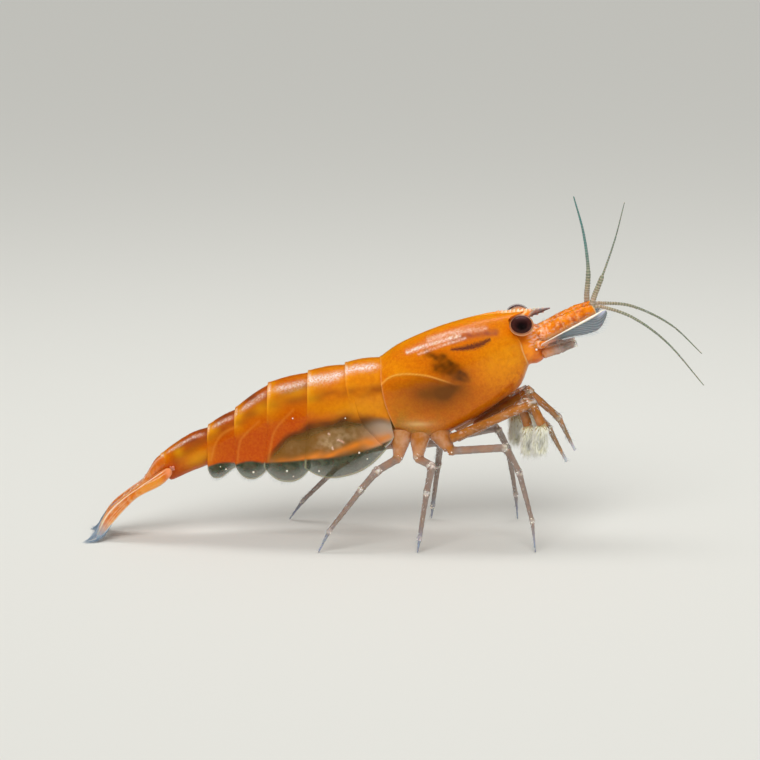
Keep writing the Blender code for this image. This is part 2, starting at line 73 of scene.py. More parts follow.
# Carapace: top line and lower margin (x, z), half widths at even steps, rear to front
CARAPACE_BACK = ((0, 9.25), (1.0, 9.95), (2.5, 10.63), (4.0, 11.14), (5.4, 11.47), (6.35, 11.55))
CARAPACE_HEM = ((0.8, 5.66), (1.9, 5.36), (3.2, 5.5), (4.75, 6.28), (6.2, 7.26), (6.98, 7.9), (7.4, 8.95))
CARAPACE_WIDTH = (1.72, 1.93, 1.95, 1.82, 1.55, 1.2)
CARAPACE_SQUARE = 0.62         # how full the lower half of a ring is: 1 is an oval
CARAPACE_OPEN = 0.93           # share of each half ring that the shell covers: it is open below
ORBIT_ROOF = (0.8, 0.06)       # how far the shell reaches forward and up to the rostrum
GILL_LINE = ((0.02, 8.15), (0.5, 8.55), (1.25, 8.74), (2.25, 8.7), (3.0, 8.5), (3.75, 8.24))

# Painted glints: short bright lines in the window of the flank (x, z)
WINDOW_PAINTED_GLINTS = (((-2.55, 5.78), (-2.48, 5.72)), ((-2.1, 5.46), (-1.95, 5.42), (-1.78, 5.32)),
                 ((-2.36, 5.1), (-2.33, 4.98)))

# Painted highlight lines of the carapace: line (x, z), half width, strength
PAINTED_HIGHLIGHT_LINES = ((((1.35, 9.72), (2.6, 10.16), (3.9, 10.56)), 0.075, 0.85),
           (((1.9, 9.66), (3.0, 10.08), (4.2, 10.46)), 0.05, 0.5),
           (((2.4, 10.3), (3.6, 10.66), (5.2, 10.92)), 0.1, 0.4))

# Dark plumes of the stomach: line (x, z) and half width
GUT_PLUMES = ((((2.3, 9.75), (2.9, 9.5), (3.3, 9.25)), 0.16), (((2.8, 9.1), (3.5, 9.0), (4.2, 8.55)), 0.24),
              (((3.1, 9.6), (3.5, 9.2), (3.9, 8.7)), 0.2))

# Rostrum: upper edge (x, z), then half height and half width at even steps
ROSTRUM_TOP = ((4.3, 11.23), (5.4, 11.5), (6.4, 11.61), (7.4, 11.67), (8.45, 11.77))
ROSTRUM_HEIGHT = (0.08, 0.12, 0.2, 0.25, 0.22, 0.14, 0.03)
ROSTRUM_WIDTH = (0.05, 0.12, 0.24, 0.34, 0.27, 0.13, 0.02)
TEETH_FROM, TEETH_TO, TEETH = 5.7, 8.1, 12     # upper teeth: from and to x, and their number
TOOTH_HEIGHT, LOW_TOOTH_HEIGHT = 0.1, 0.09
LOW_TEETH_FROM, LOW_TOOTH_PITCH, LOW_TEETH = 7.35, 0.27, 3

# Flesh: x, top, foot and half width, front to rear
FLESH = (
    (8.38, 9.86, 9.86, 0.0), (8.36, 10.0, 9.7, 0.12), (8.25, 10.3, 9.4, 0.36),
    (8.1, 10.62, 9.15, 0.72), (7.85, 10.85, 9.0, 0.94),
    (7.4, 11.0, 8.85, 1.08), (6.8, 11.1, 8.1, 1.12), (6.0, 11.2, 7.15, 1.3),
    (4.75, 11.05, 6.2, 1.6), (3.4, 10.65, 5.4, 1.72), (2.2, 10.2, 5.15, 1.75),
    (1.2, 9.75, 5.1, 1.68), (0.5, 9.3, 5.05, 1.55), (-0.2, 9.0, 4.85, 1.5), (-1.75, 8.74, 4.55, 1.58),
    (-3.6, 8.33, 4.3, 1.62), (-5.6, 7.7, 4.15, 1.45), (-7.25, 6.44, 4.1, 1.2),
    (-8.62, 5.54, 3.9, 0.95), (-9.5, 5.14, 3.5, 0.8), (-10.4, 4.6, 3.1, 0.66), (-10.95, 4.18, 3.08, 0.44),
    (-11.1, 3.9, 3.3, 0.24), (-11.13, 3.6, 3.6, 0.0),
)

# Seams of the abdomen, front to back: top (x, z), foot (x, z), half width
SEAMS = (
    ((-0.1, 9.32), (0.7, 5.5), 1.62),
    ((-1.75, 8.94), (0.2, 4.98), 1.72),
    ((-3.6, 8.53), (-3.6, 4.0), 1.78),
    ((-5.6, 7.92), (-5.6, 4.0), 1.6),
    ((-7.25, 6.64), (-7.05, 3.98), 1.36),
    ((-8.62, 5.77), (-8.5, 3.76), 1.12),
)
LOBE_DEPTH = (0.05, 0.9, 0.75, 0.66, 0.52)     # how far each side flap hangs below its seams
LOBE_SKEW = (1.0, 1.0, 1.0, 1.2, 2.0)          # over 1 moves a flap's lowest point back
LOBE_BULGE = (0.0, 0.14, 0.05, 0.0, 0.0)       # how far each side flap stands out
LOBE_SPREAD = (0.0, 0.3, 0.34, 0.3, 0.2)       # how far each side flap laps its neighbours
CROWN, STEP = 0.07, 0.1                        # a ring swells in its middle and dips at its front
ARCH = 0.42                                    # share of a ring's height in its round back
ARCH_SHARE = 0.45                              # share of a half ring's quads on the round back
FOOT_TUCK = 0.07                               # how far the foot of a flap turns inward
SEAM_CURVE = 2.2                               # a seam leans forward only low on the flank
TUCK_UNDER = 0.13                              # share of a ring hidden by the ring in front

# Lines of the flank (x, z): foot of the muscle, top of the clear flap, orange band, light arcs
MUSCLE_EDGE = ((1.2, 6.2), (0.0, 6.42), (-1.0, 6.5), (-2.03, 6.45), (-3.5, 6.08), (-4.5, 5.62),
               (-5.2, 4.95), (-5.75, 4.3), (-7.0, 4.0), (-9.0, 3.4), (-11.0, 2.6))
FLAP_EDGE = ((1.2, 5.6), (-0.4, 5.02), (-2.24, 4.6), (-3.74, 4.42), (-5.45, 4.25), (-7.0, 4.2), (-9.0, 3.95))
STRAND_LINE = ((-5.6, 3.95), (-5.2, 4.08), (-3.5, 4.52), (-2.0, 4.88), (-0.64, 5.3), (0.4, 5.5))
FLANK_ARCS = (((-8.42, 4.25), (-8.2, 5.05), (-7.8, 5.6), (-7.1, 6.0)),
              ((-7.1, 4.15), (-7.0, 5.0), (-6.8, 5.5), (-6.0, 6.3)),
              ((-5.55, 4.3), (-5.3, 5.6), (-4.9, 6.3), (-4.3, 6.9)))
# Painted glints on the flaps, as white grains, by ring: (x, z, radius)
FLAP_PAINTED_GLINTS = ((2, ((-1.03, 4.8, 0.05), (-0.64, 4.45, 0.035), (-3.0, 3.86, 0.045), (-1.7, 6.55, 0.035))),
               (3, ((-4.63, 3.84, 0.055), (-4.3, 3.55, 0.03), (-4.3, 6.5, 0.04))),
               (4, ((-6.3, 3.69, 0.055),)), (5, ((-7.68, 3.79, 0.04), (-7.95, 3.9, 0.03))))

# Brown stripes of the back and of the side (x, z)
BACK_STRIPE = ((-3.7, 8.0), (-4.7, 7.74), (-6.6, 7.1), (-8.2, 6.02), (-9.3, 5.2), (-10.2, 4.7))
SIDE_STRIPE = ((1.0, 8.1), (-0.43, 7.9), (-1.75, 7.75), (-2.88, 7.6), (-4.7, 7.3), (-6.0, 6.82),
               (-7.9, 5.75), (-9.1, 5.0), (-10.2, 4.2))

# Sixth ring: top line and lower margin (x, z), half widths at even steps
SIXTH_BACK = ((-8.45, 5.62), (-8.74, 5.6), (-9.5, 5.34), (-10.45, 4.74), (-11.05, 4.26))
SIXTH_HEM = ((-8.3, 3.82), (-8.64, 3.74), (-9.5, 3.4), (-10.4, 2.98), (-10.6, 3.0))
SIXTH_WIDTH = (1.06, 1.04, 0.94, 0.76, 0.6)

# Tail: middle lines (x, z), half widths and half heights at even steps
TELSON_LINE = ((-10.45, 4.0), (-11.0, 3.72), (-11.85, 2.8), (-12.6, 2.26), (-13.3, 1.78))
TELSON_WIDTH = (0.62, 0.58, 0.48, 0.36, 0.2, 0.04)
TELSON_HEIGHT = (0.5, 0.42, 0.28, 0.19, 0.1, 0.03)
INNER_UROPOD_LINE = ((-10.6, 3.4), (-10.9, 3.3), (-12.1, 2.36), (-13.2, 1.4), (-14.05, 0.6))
OUTER_UROPOD_LINE = ((-0.3, 0.0), (0.6, 0.05), (1.5, 0.2), (2.4, 0.28), (3.6, 0.18), (4.9, -0.3))
OUTER_UROPOD_WIDTH = (0.2, 0.31, 0.27, 0.22, 0.28, 0.33, 0.27, 0.1)
OUTER_UROPOD_ROOT = (-10.66, 0.9, 3.48)
OUTER_UROPOD_PITCH = math.radians(40)
OUTER_UROPOD_LEAN = math.radians(32)

# Swimmerets: root (x, z), tip (x, z), half width
SWIMMERETS = (
    ((-0.45, 6.2), (-1.3, 4.75), 0.4), ((-2.4, 5.9), (-3.5, 4.35), 0.43),
    ((-4.25, 5.1), (-5.4, 3.85), 0.34), ((-6.0, 4.2), (-7.0, 3.72), 0.22),
    ((-7.55, 4.0), (-8.45, 3.56), 0.18),
)
SWIMMERET_Y = 0.36             # how far the tips hang from the middle plane

# Eye: centre and radii; its stalk: middle line
EYE_CENTRE = (6.93, 1.5, 11.18)
EYE_RADII = (0.6, 0.52, 0.5)
EYESTALK = ((7.05, 0.1, 10.85), (7.02, 0.6, 10.94), (6.96, 1.42, 11.1))

# Walking legs: joints (x, y, z) from the hip to the tip
WALKING_LEGS = {
    "leg_3_right": ((2.9, 1.0, 4.95), (3.5, 1.4, 4.78), (6.2, 2.3, 5.15), (6.85, 2.6, 3.98),
                    (7.5, 2.95, 1.6), (7.68, 3.05, 0.02)),
    "leg_4_right": ((2.0, 1.0, 4.95), (1.9, 1.5, 4.42), (2.55, 2.3, 4.22), (2.3, 2.7, 2.98),
                    (1.95, 3.1, 0.75), (1.85, 3.15, 0.02)),
    "leg_5_right": ((1.1, 1.0, 4.95), (0.9, 1.4, 4.4), (-0.15, 2.2, 3.95), (-0.95, 2.6, 3.08),
                    (-2.5, 2.95, 1.1), (-3.05, 3.08, 0.02)),
    "leg_3_left": ((2.9, 1.0, 4.95), (3.5, 1.4, 4.78), (6.0, 2.2, 5.1), (6.6, 2.6, 3.9),
                   (7.05, 2.95, 1.4), (7.17, 3.05, 0.02)),
    "leg_4_left": ((2.0, 1.0, 4.95), (2.1, 1.5, 4.42), (3.1, 2.3, 4.3), (3.0, 2.7, 3.05),
                   (2.75, 3.1, 0.75), (2.68, 3.15, 0.02)),
    "leg_5_left": ((1.1, 1.0, 4.95), (0.75, 1.4, 4.45), (-0.8, 2.1, 3.95), (-2.1, 2.45, 3.05),
                   (-4.0, 2.9, 1.05), (-4.72, 3.05, 0.02)),
}
LEG_RADII = (0.78, 0.26, 0.24, 0.19, 0.13, 0.03)         # at the joints
MAXILLIPED_RADII, CHELIPED_RADII = (0.3, 0.27, 0.2, 0.07), (0.3, 0.25, 0.31)
FRONT_LIMBS = {
    "maxilliped_right": ((4.75, 0.4, 5.6), (7.25, 0.42, 7.0), (8.4, 0.7, 5.82), (9.35, 0.8, 4.05)),
    "maxilliped_left": ((4.75, 0.4, 5.6), (7.45, 0.42, 7.4), (9.0, 0.7, 6.02), (9.9, 0.8, 4.25)),
    "cheliped_1_right": ((3.75, 1.1, 5.35), (7.02, 1.12, 6.95), (7.35, 1.14, 6.0)),
    "cheliped_1_left": ((3.75, 1.1, 5.35), (6.8, 1.12, 6.9), (6.9, 1.14, 6.0)),
    "cheliped_2_right": ((3.45, 1.62, 5.42), (7.5, 1.76, 7.25), (7.98, 1.8, 6.2)),
    "cheliped_2_left": ((3.45, 1.62, 5.42), (7.3, 1.76, 7.15), (7.75, 1.8, 6.1)),
}
CLAW_AIM = {"cheliped_1": (0.05, 0.06, -1.0), "cheliped_2": (-0.08, 0.06, -1.0)}
PALM_LENGTH, FINGER_LENGTH = 0.6, 0.75
HAND_SET = -0.1                                # how far a palm starts beyond the wrist

# Feelers: joints or knots (x, y, z)
ANTENNULE_STEM = ((7.6, 0.44, 10.25), (9.0, 0.46, 10.98), (9.8, 0.46, 11.4), (10.6, 0.46, 11.82))
ANTENNA_STEM = ((8.0, 0.72, 9.55), (8.9, 0.74, 9.82), (9.75, 0.76, 10.12))
FLAGELLA = {
    "antennule_upper_left": ((10.35, 0.48, 11.75), (10.3, 0.5, 12.32), (10.35, 0.56, 13.6),
                             (10.1, 0.85, 15.4), (9.62, 1.3, 17.15)),
    "antennule_upper_right": ((10.45, 0.5, 11.75), (10.55, 0.5, 12.32), (11.0, 0.6, 13.6),
                              (11.5, 0.85, 15.3), (11.88, 1.3, 17.2)),
    "antennule_lower_left": ((10.5, 0.46, 11.85), (10.95, 0.46, 11.9), (12.6, 0.6, 11.72),
                             (14.6, 1.0, 10.7), (16.3, 1.5, 9.1)),
    "antennule_lower_right": ((10.5, 0.46, 11.82), (10.95, 0.46, 11.88), (12.5, 0.6, 11.36),
                              (14.2, 1.0, 10.15), (16.0, 1.5, 8.1)),
}
ANTENNULE_RADII, ANTENNA_RADII = (0.42, 0.43, 0.4, 0.28), (0.34, 0.27, 0.2)
WHIP_RING = 0.13                               # length of one ring of a flagellum

# Antennal scale: its rim from root to tip, its root joint, its depth at even steps, its tilt
SCALE_RIM = ((7.95, 1.3, 10.12), (10.9, 1.2, 11.8))
SCALE_ROOT = ((7.5, 0.6, 10.0), (7.78, 0.9, 10.05), (8.0, 1.13, 10.1), (8.35, 1.25, 10.3))
SCALE_DEPTH = (0.1, 0.16, 0.28, 0.46, 0.66, 0.72, 0.2)
SCALE_LEAN = math.radians(30)

BRISTLE_SEED, GRAIN_SEED = 7, 11
# White grains at a joint are painted glints
PAINTED_GLINTS_PER_JOINT, KNOBS = 16, 8                # white grains at a joint, knobs on a side of the fan's root

# Studio: height that the camera aims at, its distance and the width it shows, in millimetres
CAMERA_AIM, CAMERA_DISTANCE, FRAME_WIDTH = 8.08, 110.0, 38.0
CAMERA_ELEVATION = math.radians(12)
SENSOR = 36.0                                  # millimetres
FLOOR_HALF = 6.0                               # metres, from the middle to an edge


def tint(code):
    """Linear colour of an sRGB hex value."""
    parts = [int(code[start:start + 2], 16) / 255 for start in (1, 3, 5)]
    return tuple(part / 12.92 if part <= 0.04045 else ((part + 0.055) / 1.055) ** 2.4 for part in parts)


def colour(name, description, code):
    """A colour property with its default."""
    return bpy.props.FloatVectorProperty(name=name, description=description, default=tint(code),
                                         subtype="COLOR", size=3, min=0.0, max=1.0)


def length(name, description, millimetres):
    """A length property with its default."""
    return bpy.props.FloatProperty(name=name, description=description, default=millimetres * MM,
                                   unit="LENGTH", min=0.0, precision=5)


class ShrimpColours(bpy.types.PropertyGroup):
    """Colours that a user would change."""

    shell: colour("Shell", "Orange pigment of the carapace", "#d26a02")
    ring: colour("Rings", "Orange of the front rings", "#f08a10")
    shell_deep: colour("Deep shell", "Darker orange of the lower and rear body", "#c64a00")
    shell_light: colour("Light shell", "Yellow-orange of the cheeks and the seams", "#fa960a")
    cream: colour("Cream", "Pale rims of the rings", "#f4d49a")
    gill: colour("Gill", "Brown of the gills under the carapace", "#6c3b02")
    gut: colour("Gut", "Dark brown of the stomach", "#582f04")
    dash: colour("Dash", "Dark dash behind the eye", "#5a2a20")
    stripe: colour("Stripe", "Brown stripe along the side", "#8a4216")
    olive: colour("Olive", "Clear flaps of the sides", "#2e3b26")
    smoke: colour("Smoke", "Clear blades of the feelers and swimmerets", "#66716c")
    leg: colour("Leg", "Glassy pink-grey of the legs", "#9a8274")
    leg_low: colour("Foot", "Blue-grey of the feet", "#8f9bb0")
    seta: colour("Seta", "Bristles", "#dfe2e0")
    brush: colour("Brush", "Brushes of the claws", "#fbf8dc")
    tail_tip: colour("Tail tip", "Blue-white tips of the tail fan", "#8fa6b8")
    eye: colour("Eye", "Pigment in the middle of the eyes", "#050506")
    floor: colour("Floor", "Pale studio floor", "#dcdcd6")


class ShrimpSizes(bpy.types.PropertyGroup):
    """Sizes that a user would change."""

    shell_wall: length("Shell wall", "Thickness of the carapace and the rings", 0.05)
    fin_wall: length("Fin wall", "Thickness of the clear flaps at their edge", 0.03)
    seta_width: length("Seta width", "Thickness of a bristle at its root", 0.022)


# ------------------------------------------------------------------------ shaping tools


def course(knots, even=False):
    """A smooth line through the knots, as a function of the share (0 to 1) of the way along."""
    spots = np.array(knots, dtype=float).reshape(len(knots), -1)
    padded = np.vstack((2 * spots[0] - spots[1], spots, 2 * spots[-1] - spots[-2]))
    t = np.linspace(0, 1, FINE, endpoint=False)[:, None]
    steps = np.ones(len(spots) - 1) if even else np.linalg.norm(np.diff(spots, axis=0), axis=1)
    starts = np.concatenate(([0.0], np.cumsum(steps)))
    fine, run = [], []
    for index, step in enumerate(steps):
        before, here, there, after = padded[index:index + 4]
        fine.append(0.5 * (2 * here + (there - before) * t
                           + (2 * before - 5 * here + 4 * there - after) * t ** 2
                           + (3 * here - before - 3 * there + after) * t ** 3))
        run.append(starts[index] + step * t[:, 0])
    fine = np.vstack(fine + [spots[-1:]])
    run = np.concatenate(run + [starts[-1:]]) / starts[-1]
    return lambda share: np.stack([np.interp(share, run, column) for column in fine.T], axis=-1)


def profile(values):
    """A smooth value along a piece, from values at even steps."""
    line = course(values, even=True)
    return lambda share: line(share)[..., 0]


def fade(value, start, end):
    """Smooth step from 0 at start to 1 at end."""
    share = np.clip((value - start) / (end - start), 0, 1)
    return share * share * (3 - 2 * share)


def hump(gap, width):
    """Soft band: 1 where the gap is 0, 0.37 at its width."""
    return np.exp(-(gap / width) ** 2)


def spot(x, z, centre, radii, turn=0.0):
    """Soft oval mark: 1 in the middle, 0.37 at its radii."""
    along = (x - centre[0]) * math.cos(turn) + (z - centre[1]) * math.sin(turn)
    across = (z - centre[1]) * math.cos(turn) - (x - centre[0]) * math.sin(turn)
    return np.exp(-((along / radii[0]) ** 2 + (across / radii[1]) ** 2))


def off_line(x, z, knots):
    """Distance to a line in the side view, and the share of the way along it."""
    shares = np.linspace(0, 1, 120)
    line = course(knots)(shares)
    gaps = np.hypot(x[:, None] - line[None, :, 0], z[:, None] - line[None, :, 1])
    return gaps.min(axis=1), shares[gaps.argmin(axis=1)]


def height_of(knots, x):
    """Height of a line over the floor at x."""
    line = course(knots)(np.linspace(0, 1, 200))
    order = np.argsort(line[:, 0])
    return np.interp(x, line[order, 0], line[order, 1])


def oval(square, points=400):
    """Half ring (side, rise) from the top to the foot, at even steps of its own length."""
    angle = np.linspace(0, np.pi, points)
    power = 1.0 - (1.0 - square) * fade(np.cos(angle), 0.75, -0.75)
    side = np.abs(np.sin(angle)) ** power
    rise = np.sign(np.cos(angle)) * np.abs(np.cos(angle)) ** power
    run = np.concatenate(([0.0], np.cumsum(np.hypot(np.diff(side), 1.4 * np.diff(rise)))))
    run /= run[-1]
    return lambda share: (np.interp(share, run, side), np.interp(share, run, rise))


def numbers(data, name):
    """Values of a point attribute."""
    found = np.zeros(len(data.vertices), np.float32)
    data.attributes[name].data.foreach_get("value", found)
    return found.astype(float)


def mark(data, name, values):
    """Keep a value between 0 and 1 at each point, for the materials to read."""
    made = data.attributes.get(name) or data.attributes.new(name, "FLOAT", "POINT")
    made.data.foreach_set("value", np.clip(values, 0, 1).astype(np.float32))


def spots(data):
    """Points of a mesh in the shrimp's own millimetres."""
    found = np.zeros(len(data.vertices) * 3, np.float32)
    data.vertices.foreach_get("co", found)
    return found.reshape(-1, 3).astype(float) / MM - (SEAM_X, 0, 0)


def move(data, places):
    """Put the points of a mesh at places given in the shrimp's own millimetres."""
    there = (np.asarray(places) + (SEAM_X, 0, 0)) * MM
    data.vertices.foreach_set("co", there.astype(np.float32).ravel())
    data.update()


def rolled(name, around, along, place):
    """Roll a flat grid of quads into a surface: place(u, v) gives each point in millimetres."""
    mesh = bmesh.new()
    mesh.loops.layers.uv.new("Surface")
    bmesh.ops.create_grid(mesh, x_segments=around, y_segments=along, size=0.5, calc_uvs=True)
    data = bpy.data.meshes.new(name)
    mesh.to_mesh(data)
    flat = np.zeros(len(data.vertices) * 3, np.float32)
    data.vertices.foreach_get("co", flat)
    u, v = flat.reshape(-1, 3)[:, 0] + 0.5, flat.reshape(-1, 3)[:, 1] + 0.5
    mark(data, "u", u)
    mark(data, "v", v)
    move(data, place(u.astype(float), v.astype(float)))
    mesh.clear()
    mesh.from_mesh(data)
    bmesh.ops.remove_doubles(mesh, verts=mesh.verts, dist=WELD)
    bmesh.ops.dissolve_degenerate(mesh, dist=WELD, edges=mesh.edges)
    point_out(mesh)
    mesh.to_mesh(data)
    mesh.free()
    data.shade_smooth()
    return data


def point_out(mesh):
    """Make the faces of a closed or bowl-shaped mesh point outward."""
    bmesh.ops.recalc_face_normals(mesh, faces=mesh.faces)
    centre = sum((vert.co for vert in mesh.verts), Vector()) / len(mesh.verts)
    outward = sum(face.calc_area() * face.normal.dot(face.calc_center_median() - centre)
                  for face in mesh.faces)
    if outward < 0:
        bmesh.ops.reverse_faces(mesh, faces=mesh.faces)


def emboss(data, amounts):
    """Raise the points of a mesh along their normals by amounts in millimetres."""
    normals = np.zeros(len(data.vertices) * 3, np.float32)
    data.vertex_normals.foreach_get("vector", normals)
    move(data, spots(data) + normals.reshape(-1, 3) * np.asarray(amounts)[:, None])


def ripple(x, y, z, size, seed=0.0):
    """Cheap smooth unevenness of about -1 to 1, with bumps of a size in millimetres."""
    a, b, c = x / size + seed, y / size - seed, z / size + 2 * seed
    return (np.sin(1.7 * a + 1.3 * np.sin(1.1 * c + b)) + np.sin(2.1 * b + 1.7 * np.sin(0.9 * a - c))
            + np.sin(1.9 * c + 1.5 * np.sin(1.3 * b + 0.7 * a))) / 3


def piece(data, nodes=(), material=None, wall=0.0):
    """Make a mesh an object that rides on the shrimp and stands for CAD nodes."""
    obj = bpy.data.objects.new(data.name, data)
    bpy.context.scene.collection.objects.link(obj)
    data.materials.append(material)
    if wall:
        solid = obj.modifiers.new("wall", "SOLIDIFY")
        solid.thickness = wall
        solid.offset = -1.0
    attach(obj, "root")
    if nodes:
        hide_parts(*nodes)
    return obj


class Strand:
    """A limb, blade or feeler: a line with a width and a height across it."""

    def __init__(self, line, widths, heights=None, flat=(0.0, 1.0, 0.0), steps=160):
        shares = np.linspace(0, 1, steps + 1)
        self.steps = steps
        self.line = line(shares)
        ahead = np.gradient(self.line, axis=0)
        self.ahead = ahead / np.linalg.norm(ahead, axis=1)[:, None]
        side = np.array(flat) - self.ahead * (self.ahead @ np.array(flat))[:, None]
        self.side = side / np.linalg.norm(side, axis=1)[:, None]
        self.up = np.cross(self.ahead, self.side)
        self.widths = widths(shares)
        self.heights = self.widths if heights is None else heights(shares)
        self.length = np.linalg.norm(np.diff(self.line, axis=0), axis=1).sum()

    def place(self, u, v, reach=1.0):
        """Point of the surface, u around and v along; reach 0 is the middle line."""
        index = np.rint(np.asarray(v) * self.steps).astype(int)
        angle = 2 * np.pi * np.asarray(u)
        across = (np.cos(angle) * self.widths[index] * reach)[:, None]
        rise = (np.sin(angle) * self.heights[index] * reach)[:, None]
        return self.line[index] + self.side[index] * across + self.up[index] * rise

    def skin(self, name, around):
        """Closed surface of the strand."""
        return rolled(name, around, self.steps, self.place)


def rounded(values, blunt=0.02):
    """Widths along a strand, closed to a point within a share of its length at both ends."""
    width = profile(values)

    def closed(share):
        ends = np.clip(share / blunt, 0, 1) * np.clip((1 - share) / blunt, 0, 1)
        return width(share) * np.sqrt(1 - (1 - ends) ** 2)
    return closed


def jointed(joints, bend=0.12):
    """Line through joints that is straight between them and turns within a short bend."""
    spots_ = [np.array(joint, dtype=float) for joint in joints]
    knots = [spots_[0]]
    for before, here, after in zip(spots_, spots_[1:], spots_[2:]):
        knots.append(here + (before - here) / np.linalg.norm(before - here) * bend)
        knots.append(here + (after - here) / np.linalg.norm(after - here) * bend)
    knots.append(spots_[-1])
    return course(knots)


def joint_shares(joints):
    """Share of the way along at each joint of a limb."""
    steps = np.linalg.norm(np.diff(np.array(joints, dtype=float), axis=0), axis=1)
    return np.concatenate(([0.0], np.cumsum(steps))) / steps.sum()


def from_joints(shares, joints, reach, full):
    """How near each share is to an inner joint: 1 at the joint, falling off over a reach in mm."""
    near = np.zeros_like(shares)
    for joint in joints[1:-1]:
        near = np.maximum(near, np.exp(-((shares - joint) * full / reach) ** 2))
    return near


def side_of(name):
    """-1 for a node of the right side, 1 for one of the left."""
    return dict(SIDES)[name.rsplit("_", 1)[1]]


def mirrored(points, side):
    """The same points on the side that y is turned to."""
    return [(x, y * side, z) for x, y, z in points]


def copies(name, shape, count):
    """One mesh of many copies of a small shape, and the shape's own points."""
    template = bpy.data.meshes.new(name + "_template")
    shape.to_mesh(template)
    shape.free()
    form = np.array([vert.co for vert in template.vertices], dtype=float)
    mesh = bmesh.new()
    for _ in range(count):
        mesh.from_mesh(template)
    data = bpy.data.meshes.new(name)
    mesh.to_mesh(data)
    mesh.free()
    bpy.data.meshes.remove(template)
    data.shade_smooth()
    return data, form


def hairs(name, roots, ways, curls, lengths, width, homes):
    """One mesh of many bristles, each a thin bent cone, with a bake patch at its root's place."""
    shape = bmesh.new()
    bmesh.ops.create_cone(shape, segments=3, radius1=1.0, radius2=0.12, depth=1.0, cap_ends=True)
    bmesh.ops.translate(shape, verts=shape.verts, vec=(0, 0, 0.5))
    for height in (0.25, 0.5, 0.75):
        bmesh.ops.bisect_plane(shape, geom=shape.verts[:] + shape.edges[:] + shape.faces[:],
                               plane_co=(0, 0, height), plane_no=(0, 0, 1))
    data, form = copies(name, shape, len(roots))
    ways = ways / np.linalg.norm(ways, axis=1)[:, None]
    first = np.cross(ways, (0.31, 0.83, 0.47))
    first /= np.linalg.norm(first, axis=1)[:, None]
    second = np.cross(ways, first)
    t = form[None, :, 2, None]
    reach = np.asarray(lengths)[:, None, None] * t
    thick = width * (1 - 0.8 * t)
    places = (roots[:, None] + ways[:, None] * reach + curls[:, None] * reach * t
              + (first[:, None] * form[None, :, 0, None] + second[:, None] * form[None, :, 1, None]) * thick)
    move(data, places.reshape(-1, 3))
    layer = data.uv_layers.new(name="OFBake")
    corners = np.zeros(len(data.loops), np.int32)
    data.loops.foreach_get("vertex_index", corners)
    patch = 0.0015 * np.stack((form[:, 0], 2 * form[:, 2] - 1), axis=-1)
    homes = np.clip(homes, 0.002, 0.998)
    uv = (homes[:, None] + patch[None]).reshape(-1, 2)[corners]
    layer.data.foreach_set("uv", uv.astype(np.float32).ravel())
    mark(data, "v", np.tile(form[:, 2], len(roots)))
    return data


# ---------------------------------------------------------------------------- materials


def add(tree, kind, feeds=None, **settings):
    """Add a node with its settings and with what feeds its sockets."""
    made = tree.nodes.new(kind)
    for name, value in settings.items():
        setattr(made, name, value)
    for name, value in (feeds or {}).items():
        if isinstance(value, bpy.types.NodeSocket):
            tree.links.new(value, made.inputs[name])
        else:
            made.inputs[name].default_value = value
    return made


def per_mm(size):
    """Scale of a texture on object coordinates in metres, for features of a size in mm."""
    return 1.0 / (size * MM)


def rgba(value):
    """Four numbers from a colour property or a hex value."""
    return (*(tint(value) if isinstance(value, str) else value), 1.0)


